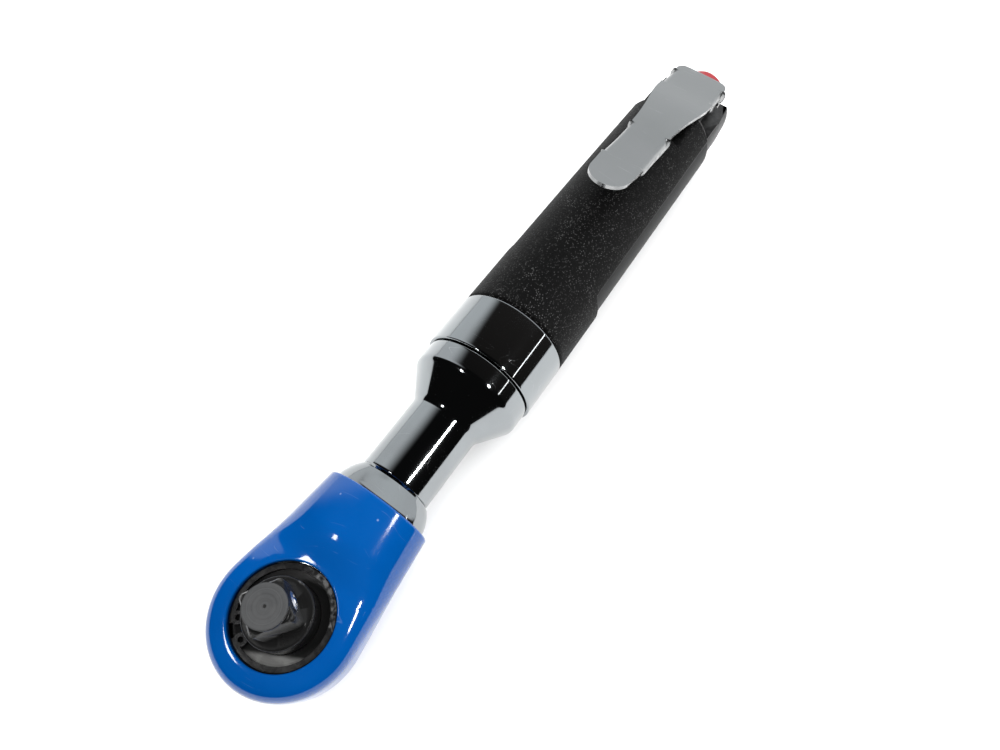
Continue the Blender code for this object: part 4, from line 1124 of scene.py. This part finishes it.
def lever_section(place):
    """Half of the lever's cross-section, from the middle outwards, as (out, height)."""
    width = max(lever_half_width(place), 0.8)
    top = along_points(LEVER_HEIGHTS, place)
    share, length = lever_flange(place)
    splay = math.radians(14.0) * (1 - smoothstep(170.0, 190.0, place))
    fold = (math.pi / 2 - splay) * share
    start = width - FOLD_RADIUS * math.sin(fold) if share else width - 0.02
    points = [(start * step / 6, top) for step in range(7)]
    fold_steps = 8
    for step in range(1, fold_steps + 1):
        angle = fold * step / fold_steps
        spread = 0.02 * step / fold_steps if not share else FOLD_RADIUS * math.sin(angle)
        points.append((start + spread, top - FOLD_RADIUS * (1 - math.cos(angle))))
    out, height = points[-1]
    for part in (0.5, 1.0):
        reach = 1e-3 * part + part * length * math.cos(fold)
        points.append((out + reach, height - part * length * math.sin(fold)))
    return points


def make_lever(finishes):
    nose = LEVER_HEIGHTS[0][0]
    places = [nose + NOSE_RADIUS * (1 - math.cos(math.pi / 2 * step / 14)) for step in range(1, 14)]
    places += spaced(140.0, 147.0, 6) + spaced(147.4, 148.8, 8) + spaced(150.0, 164.6, 12)
    places += spaced(165.2, 166.7, 8) + spaced(168.0, 193.2, 22) + spaced(193.8, 195.1, 8)
    places += spaced(196.0, 203.6, 12) + spaced(204.1, 205.5, 8) + spaced(206.0, 209.5, 14)
    mesh_data = bmesh.new()
    strips = []
    for place in places:
        half = lever_section(place)
        across = [(-out, height) for out, height in reversed(half[1:])] + half
        strips.append(add_ring(mesh_data, [(place, out, height) for out, height in across]))
    for first, second in zip(strips, strips[1:]):
        for step in range(len(first) - 1):
            mesh_data.faces.new((first[step], first[step + 1], second[step + 1], second[step]))
    lever = add_piece(
        "lever", mesh_data, "throttle_lever", finishes["lever_steel"], ["throttle_lever"], 50.0
    )
    solid = lever.modifiers.new("plate", "SOLIDIFY")
    solid.thickness = PLATE * MM
    solid.offset = -1.0
    bake_modifiers(lever)
    cut(lever, rod("Y", -12, 12, PIN_RADIUS + 0.1, (PIVOT_X, 0, PIVOT_Z), 32))
    round_edges(lever, 0.22, 50.0)
    pin = rod("Y", -9.9, 9.9, PIN_RADIUS, (PIVOT_X, 0, PIVOT_Z), 32, 0.3)
    add_piece("pin_of_lever", pin, "tool_body", finishes["steel"], ["lever_pin"])


def make_valve(finishes):
    centre = (VALVE_X, 0.0, 0.0)
    stem = [
        (1.85, 0.0),
        (1.85, 1.2, 0.1),
        (14.6, 1.2),
        (14.6, 2.0, 0.1),
        (15.7, 1.9, 0.5),
        (15.7, 0.0),
    ]
    stem_shape = turned(rounded(stem), "Z", SMALL, centre=centre)
    add_piece("stem", stem_shape, "valve_stem", finishes["steel"], ["valve_stem"])
    corners = [
        (-13.6, 0.0),
        (-13.6, 4.1, 0.4),
        (-11.0, 4.1),
        (-11.0, 3.2),
        (-10.0, 3.2),
        (-10.0, 4.1),
        (-8.9, 4.1, 0.2),
        (-8.9, 0.0),
    ]
    plug_shape = turned(rounded(corners), "Z", SMALL, centre=centre)
    plug = add_piece("screw_plug", plug_shape, "tool_body", finishes["steel"], ["valve_plug"])
    cut(plug, block((VALVE_X - 5, -0.6, -15), (VALVE_X + 5, 0.6, -12.6)))


# ---------------------------------------------------------------- inlet


def make_inlet(finishes):
    across_flats = 17.0
    outline = [polar(across_flats / math.sqrt(3), 60 * step) for step in range(6)]
    barrel = rod("X", 190.5, 208.5, 7.7, segments=FINE)
    bushing = add_piece("bushing", barrel, "tool_body", finishes["steel"], ["inlet_bushing"])
    cut(bushing, prism(outline, 207.8, BUSHING_FACE, "X"), "UNION")
    cut(bushing, rod("X", 189, 214, BUSHING_BORE, segments=FINE))
    round_edges(bushing, 0.25, 30.0)
    corners = [
        (199.0, 0.0),
        (199.0, 4.6, 0.3),
        (200.0, 5.3, 0.2),
        (BUSHING_FACE + 0.3, 5.45),
        (BUSHING_FACE + 0.3, 7.1, 0.4),
        (PLUG_END - 0.6, 7.1, 0.5),
        (PLUG_END, 5.9, 0.4),
        (PLUG_END, 4.4, 0.3),
        (PLUG_END - 4.0, 4.0, 0.4),
        (PLUG_END - 4.0, 0.0),
    ]
    plug_shape = turned(rounded(corners), "X", FINE)
    add_piece("red_plug", plug_shape, "inlet_plug", finishes["plug_red"], ["inlet_plug"])


# ---------------------------------------------------------------- drive and knob


def rounded_square(across, corner, steps=5):
    points = []
    half = across / 2
    for quarter in range(4):
        for step in range(steps + 1):
            turn = math.radians(90 * quarter + 90 * step / steps)
            base = math.radians(90 * quarter + 45)
            middle = (half - corner) * math.sqrt(2)
            points.append(
                (
                    middle * math.cos(base) + corner * math.cos(turn),
                    middle * math.sin(base) + corner * math.sin(turn),
                )
            )
    return points


def make_drive(finishes):
    """Anvil: shaft, boss, square with rounded corners and a round machined tip."""
    corners = [
        (-9.2, 0.0),
        (-9.2, 6.3, 0.3),
        (-4.9, 6.3),
        (-4.9, 9.0, 0.2),
        (4.6, 9.0, 0.2),
        (4.6, BOSS_RADIUS),
        (BOSS_TOP, BOSS_RADIUS, 0.7),
        (BOSS_TOP, TIP_RADIUS, 0.15),
        (DRIVE_TOP - 0.1, TIP_RADIUS),
    ]
    drive_shape = turned(rounded(corners), "Z", FINE)
    drive = add_piece("drive", drive_shape, "anvil", finishes["black_oxide"], ["anvil"])
    sections = []
    for height, across in ((BOSS_TOP - 0.5, SQUARE), (SQUARE_TOP - 0.5, SQUARE), (SQUARE_TOP, SQUARE - 0.7)):
        sections.append([(*point, height) for point in rounded_square(across, 1.1)])
    cut(drive, turned_about_z(lofted(sections), SQUARE_TURN), "UNION")
    seat = rod("X", 1.2, 8.0, DETENT_BALL + 0.1, (0, 0, DETENT_Z), 32)
    cut(drive, turned_about_z(seat, SQUARE_TURN))
    pawl_turn = 100.0
    cut(drive, rod("Z", -12.0, 3.4, 3.15))
    cut(drive, turned_about_z(block((4.9, -5.2, -3.1), (12.0, 5.2, 3.1)), pawl_turn))
    cut(drive, turned_about_z(block((2.0, -2.9, -1.4), (6.0, 2.9, 1.4)), pawl_turn))

    face = rounded([
        (DRIVE_TOP - 0.1, TIP_RADIUS),
        (DRIVE_TOP, TIP_RADIUS - 0.3, 0.12),
        (DRIVE_TOP, 0.45, 0.1),
    ])
    dimple = [(DRIVE_TOP - 0.3, 0.12), (DRIVE_TOP - 0.35, 0.0)]
    under = [(DRIVE_TOP - 0.6, 0.0), (DRIVE_TOP - 0.6, TIP_RADIUS - 0.02)]
    tip_shape = turned(under + face + dimple, "Z", FINE)
    add_piece("drive_tip", tip_shape, "anvil", finishes["tip_face"], ["anvil"])

    facing = Vector((*polar(1.0, SQUARE_TURN), 0.0))
    centre = facing * (DETENT_REACH - DETENT_BALL) + Vector((0.0, 0.0, DETENT_Z))
    ball_shape = ball(centre, DETENT_BALL)
    add_piece("detent", ball_shape, "detent_ball", finishes["ball_steel"], ["detent_ball"])
    flat = SQUARE / 2
    stake = [(flat - 0.05, 1.36), (flat + 0.2, 1.4), (flat + 0.28, 1.7), (flat - 0.05, 2.4)]
    ring = turned_about_z(turned(stake, "X", 32, True, (0, 0, DETENT_Z)), SQUARE_TURN)
    add_piece("detent_stake", ring, "anvil", finishes["steel"], ["anvil"])


def make_head_rings(finishes):
    washer = [
        (4.95, 8.15),
        (4.95, 11.6, 0.1),
        (5.95, 11.6, 0.2),
        (5.95, 10.9, 0.2),
        (5.5, 8.6, 0.2),
        (5.45, 8.15),
    ]
    washer_shape = turned(rounded(washer), "Z", ROUND, True)
    add_piece("washer", washer_shape, "tool_body", finishes["washer_face"], ["thrust_washer"])
    gap = 16.0
    gap_at = 140.0
    outer = []
    inner = []
    steps = 120
    for step in range(steps + 1):
        angle = gap_at + gap / 2 + (360 - gap) * step / steps
        swell = math.sin(math.pi * step / steps)
        outer.append(polar(12.25, angle))
        inner.append(polar(10.75 - 0.35 * swell, angle))
    clip_shape = prism(outer + inner[::-1], 6.15, 7.0)
    finish = finishes["black_oxide"]
    clip = add_piece("clip", clip_shape, "tool_body", finish, ["retaining_ring"])
    for side in (-1, 1):
        eye = polar(10.0, gap_at + side * (gap / 2 + 6))
        cut(clip, rod("Z", 6.15, 7.0, 1.5, (*eye, 0), 32), "UNION")
        cut(clip, rod("Z", 5.0, 8.0, 0.65, (*eye, 0), 24))
    round_edges(clip, 0.1, 50.0, 2)


def make_knob(finishes):
    """Reversing knob: fluted rim, dished face and a raised pointer bar."""
    sections = []
    per_flute = 18
    rim = [
        (-9.3, 0.93),
        (-9.35, 0.97),
        (-9.7, 0.995),
        (-10.2, 1.0),
        (-15.4, 1.0),
        (-16.2, 0.985),
        (-16.55, 0.96),
        (KNOB_BOTTOM, 0.92),
    ]
    dish = [
        (KNOB_BOTTOM, 0.8),
        (KNOB_BOTTOM + 0.25, 0.76),
        (KNOB_BOTTOM + 0.5, 0.7),
        (KNOB_BOTTOM + 0.6, 0.3),
    ]
    for height, share in rim + dish:
        ring = []
        for step in range(FLUTES * per_flute):
            angle = 360 * step / (FLUTES * per_flute)
            swing = (1 - math.cos(math.radians(FLUTES * angle))) / 2
            wave = 0.55 * swing**3 if share > 0.85 else 0.0
            ring.append((*polar((KNOB_RADIUS - wave) * share, angle), height))
        sections.append(ring)
    finish = finishes["black_oxide"]
    knob = add_piece("knob", lofted(sections), "reverse_knob", finish, ["reverse_knob"])
    cut(knob, rod("Z", -10.0, 3.0, 3.05), "UNION")
    pointer = [(-6.5, 0.0), (-4.6, 1.5), (-4.6, 0.7), (5.5, 0.7), (5.5, -0.7), (-4.6, -0.7), (-4.6, -1.5)]
    cut(knob, prism(pointer, KNOB_BOTTOM + 0.1, KNOB_BOTTOM + 1.2), "UNION")
    cut(knob, turned_about_z(rod("X", -2.3, 4.0, 1.15, segments=24), 100.0))


# ---------------------------------------------------------------- carried-over nodes


def finish_frame_nodes(finishes):
    """Gives every CAD node its finish, also those inside the casings."""
    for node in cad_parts.values():
        for slot in node.material_slots:
            slot.material = finishes[slot.material.name.split(".")[0]]


# ---------------------------------------------------------------- room, light and camera


def make_floor():
    material, wiring, shader = new_finish("pale_floor", specular_ior_level=0.2)
    mottle = wiring.group("smudges", scale=2.0, edge=0.4)
    colour = wiring.mix(mottle, grey(0.94), grey(0.96))
    connect(wiring, shader, colour, wiring.ramp(mottle, 0.0, 1.0, 0.8, 0.9))
    mesh_data = bmesh.new()
    half = 6.0
    bmesh.ops.create_grid(mesh_data, x_segments=8, y_segments=8, size=half)
    mesh = bpy.data.meshes.new("floor")
    mesh_data.to_mesh(mesh)
    mesh_data.free()
    mesh.materials.append(material)
    floor = bpy.data.objects.new("floor", mesh)
    bpy.context.scene.collection.objects.link(floor)


def add_panel(name, place, target, size, radiance, glossy=True, length_towards=(0.0, 0.0, 1.0)):
    """Rectangular lamp in metres that faces a target; radiance is what it looks like head-on."""
    data = bpy.data.lights.new(name, "AREA")
    data.shape = "RECTANGLE"
    data.size, data.size_y = size
    data.energy = radiance * math.pi * size[0] * size[1]
    panel = bpy.data.objects.new(name, data)
    back = (Vector(place) - Vector(target)).normalized()
    side = Vector(length_towards)
    side = (side - back * side.dot(back)).normalized()
    up = back.cross(side)
    turn = Matrix((side, up, back)).transposed()
    panel.matrix_world = Matrix.Translation(Vector(place)) @ turn.to_4x4()
    panel.visible_glossy = glossy
    bpy.context.scene.collection.objects.link(panel)
    return panel


def make_lights():
    """Wide overhead fill that mirrors don't show, and three bare lamps that they do."""
    centre = Vector((-0.03, 0.0, 0.02))
    along = (1.0, 0.0, 0.0)
    add_panel("overhead_fill", (0.0, 0.0, 1.6), (0.0, 0.0, 0.0), (3.6, 3.6), 2.2, False, along)
    strip = Vector((0.2325, -0.60, 0.76))
    add_panel("long_strip", centre + strip, centre, (0.195, 0.08), 60.0, True, along)
    small_lamp = Vector((-0.34, 0.33, 0.88))
    add_panel("small_lamp", centre + small_lamp, centre, (0.2, 0.1), 26.0, True, along)
    low_strip = Vector((0.434, -0.809, 0.394))
    add_panel("low_strip", centre + low_strip, centre, (0.22, 0.018), 9.0, True, along)


def make_world():
    """Dark studio with a pale wall on the +Y side and beyond the inlet; a plain backdrop behind."""
    world = bpy.data.worlds.new("studio")
    world.use_nodes = True
    bpy.context.scene.world = world
    wiring = Wiring(world.node_tree)
    background = world.node_tree.nodes["Background"]
    direction = wiring.add("ShaderNodeTexCoord").outputs["Generated"]
    parts = wiring.add("ShaderNodeSeparateXYZ", {"Vector": direction})
    foot = wiring.ramp(parts.outputs["X"], 0.25, 0.48, 0.22, 0.6)
    height = wiring.math("SUBTRACT", parts.outputs["Y"], foot)
    wall = wiring.math("DIVIDE", height, wiring.math("SUBTRACT", 0.83, foot))
    wall = wiring.ramp(wall, 0.0, 1.0)
    wall = wiring.math("MULTIPLY", wall, wiring.ramp(parts.outputs["X"], 0.13, 0.17))
    beyond = wiring.ramp(parts.outputs["X"], 0.5, 0.56)
    lit = wiring.math("MAXIMUM", wall, beyond)
    dim = wiring.mix(wiring.ramp(parts.outputs["X"], 0.3, 0.48), grey(0.01), grey(0.035, (1.1, 1.0, 0.95)))
    around = wiring.mix(lit, dim, grey(1.3, (0.97, 1.0, 1.02)))
    seen = wiring.add("ShaderNodeLightPath").outputs["Is Camera Ray"]
    colour = wiring.mix(seen, around, grey(0.95))
    world.node_tree.links.new(colour, background.inputs["Color"])


CAMERA_ROLL = 7.2


def make_camera():
    """Close wide-angle view from above the boot, looking down the handle."""
    data = bpy.data.cameras.new("camera")
    data.lens = 24.73
    data.sensor_width = 36.0
    data.clip_start = 0.01
    camera = bpy.data.objects.new("camera", data)
    place = Vector((-0.0927, -0.0431, 0.1890))
    target = Vector((-0.0187, -0.0043, 0.0168))
    roll = math.radians(CAMERA_ROLL)
    aim = (target - place).to_track_quat("-Z", "Y").to_matrix().to_4x4()
    camera.matrix_world = Matrix.Translation(place) @ aim @ Matrix.Rotation(roll, 4, "Z")
    bpy.context.scene.collection.objects.link(camera)
    bpy.context.scene.camera = camera


def main():
    finishes = make_finishes()
    finish_frame_nodes(finishes)
    make_boot(finishes)
    make_housing(finishes)
    make_nut(finishes)
    make_grip(finishes)
    make_body(finishes)
    make_lever(finishes)
    make_valve(finishes)
    make_inlet(finishes)
    make_drive(finishes)
    make_head_rings(finishes)
    make_knob(finishes)
    make_floor()
    make_lights()
    make_world()
    make_camera()
    bpy.context.scene.view_settings.view_transform = "Standard"


main()
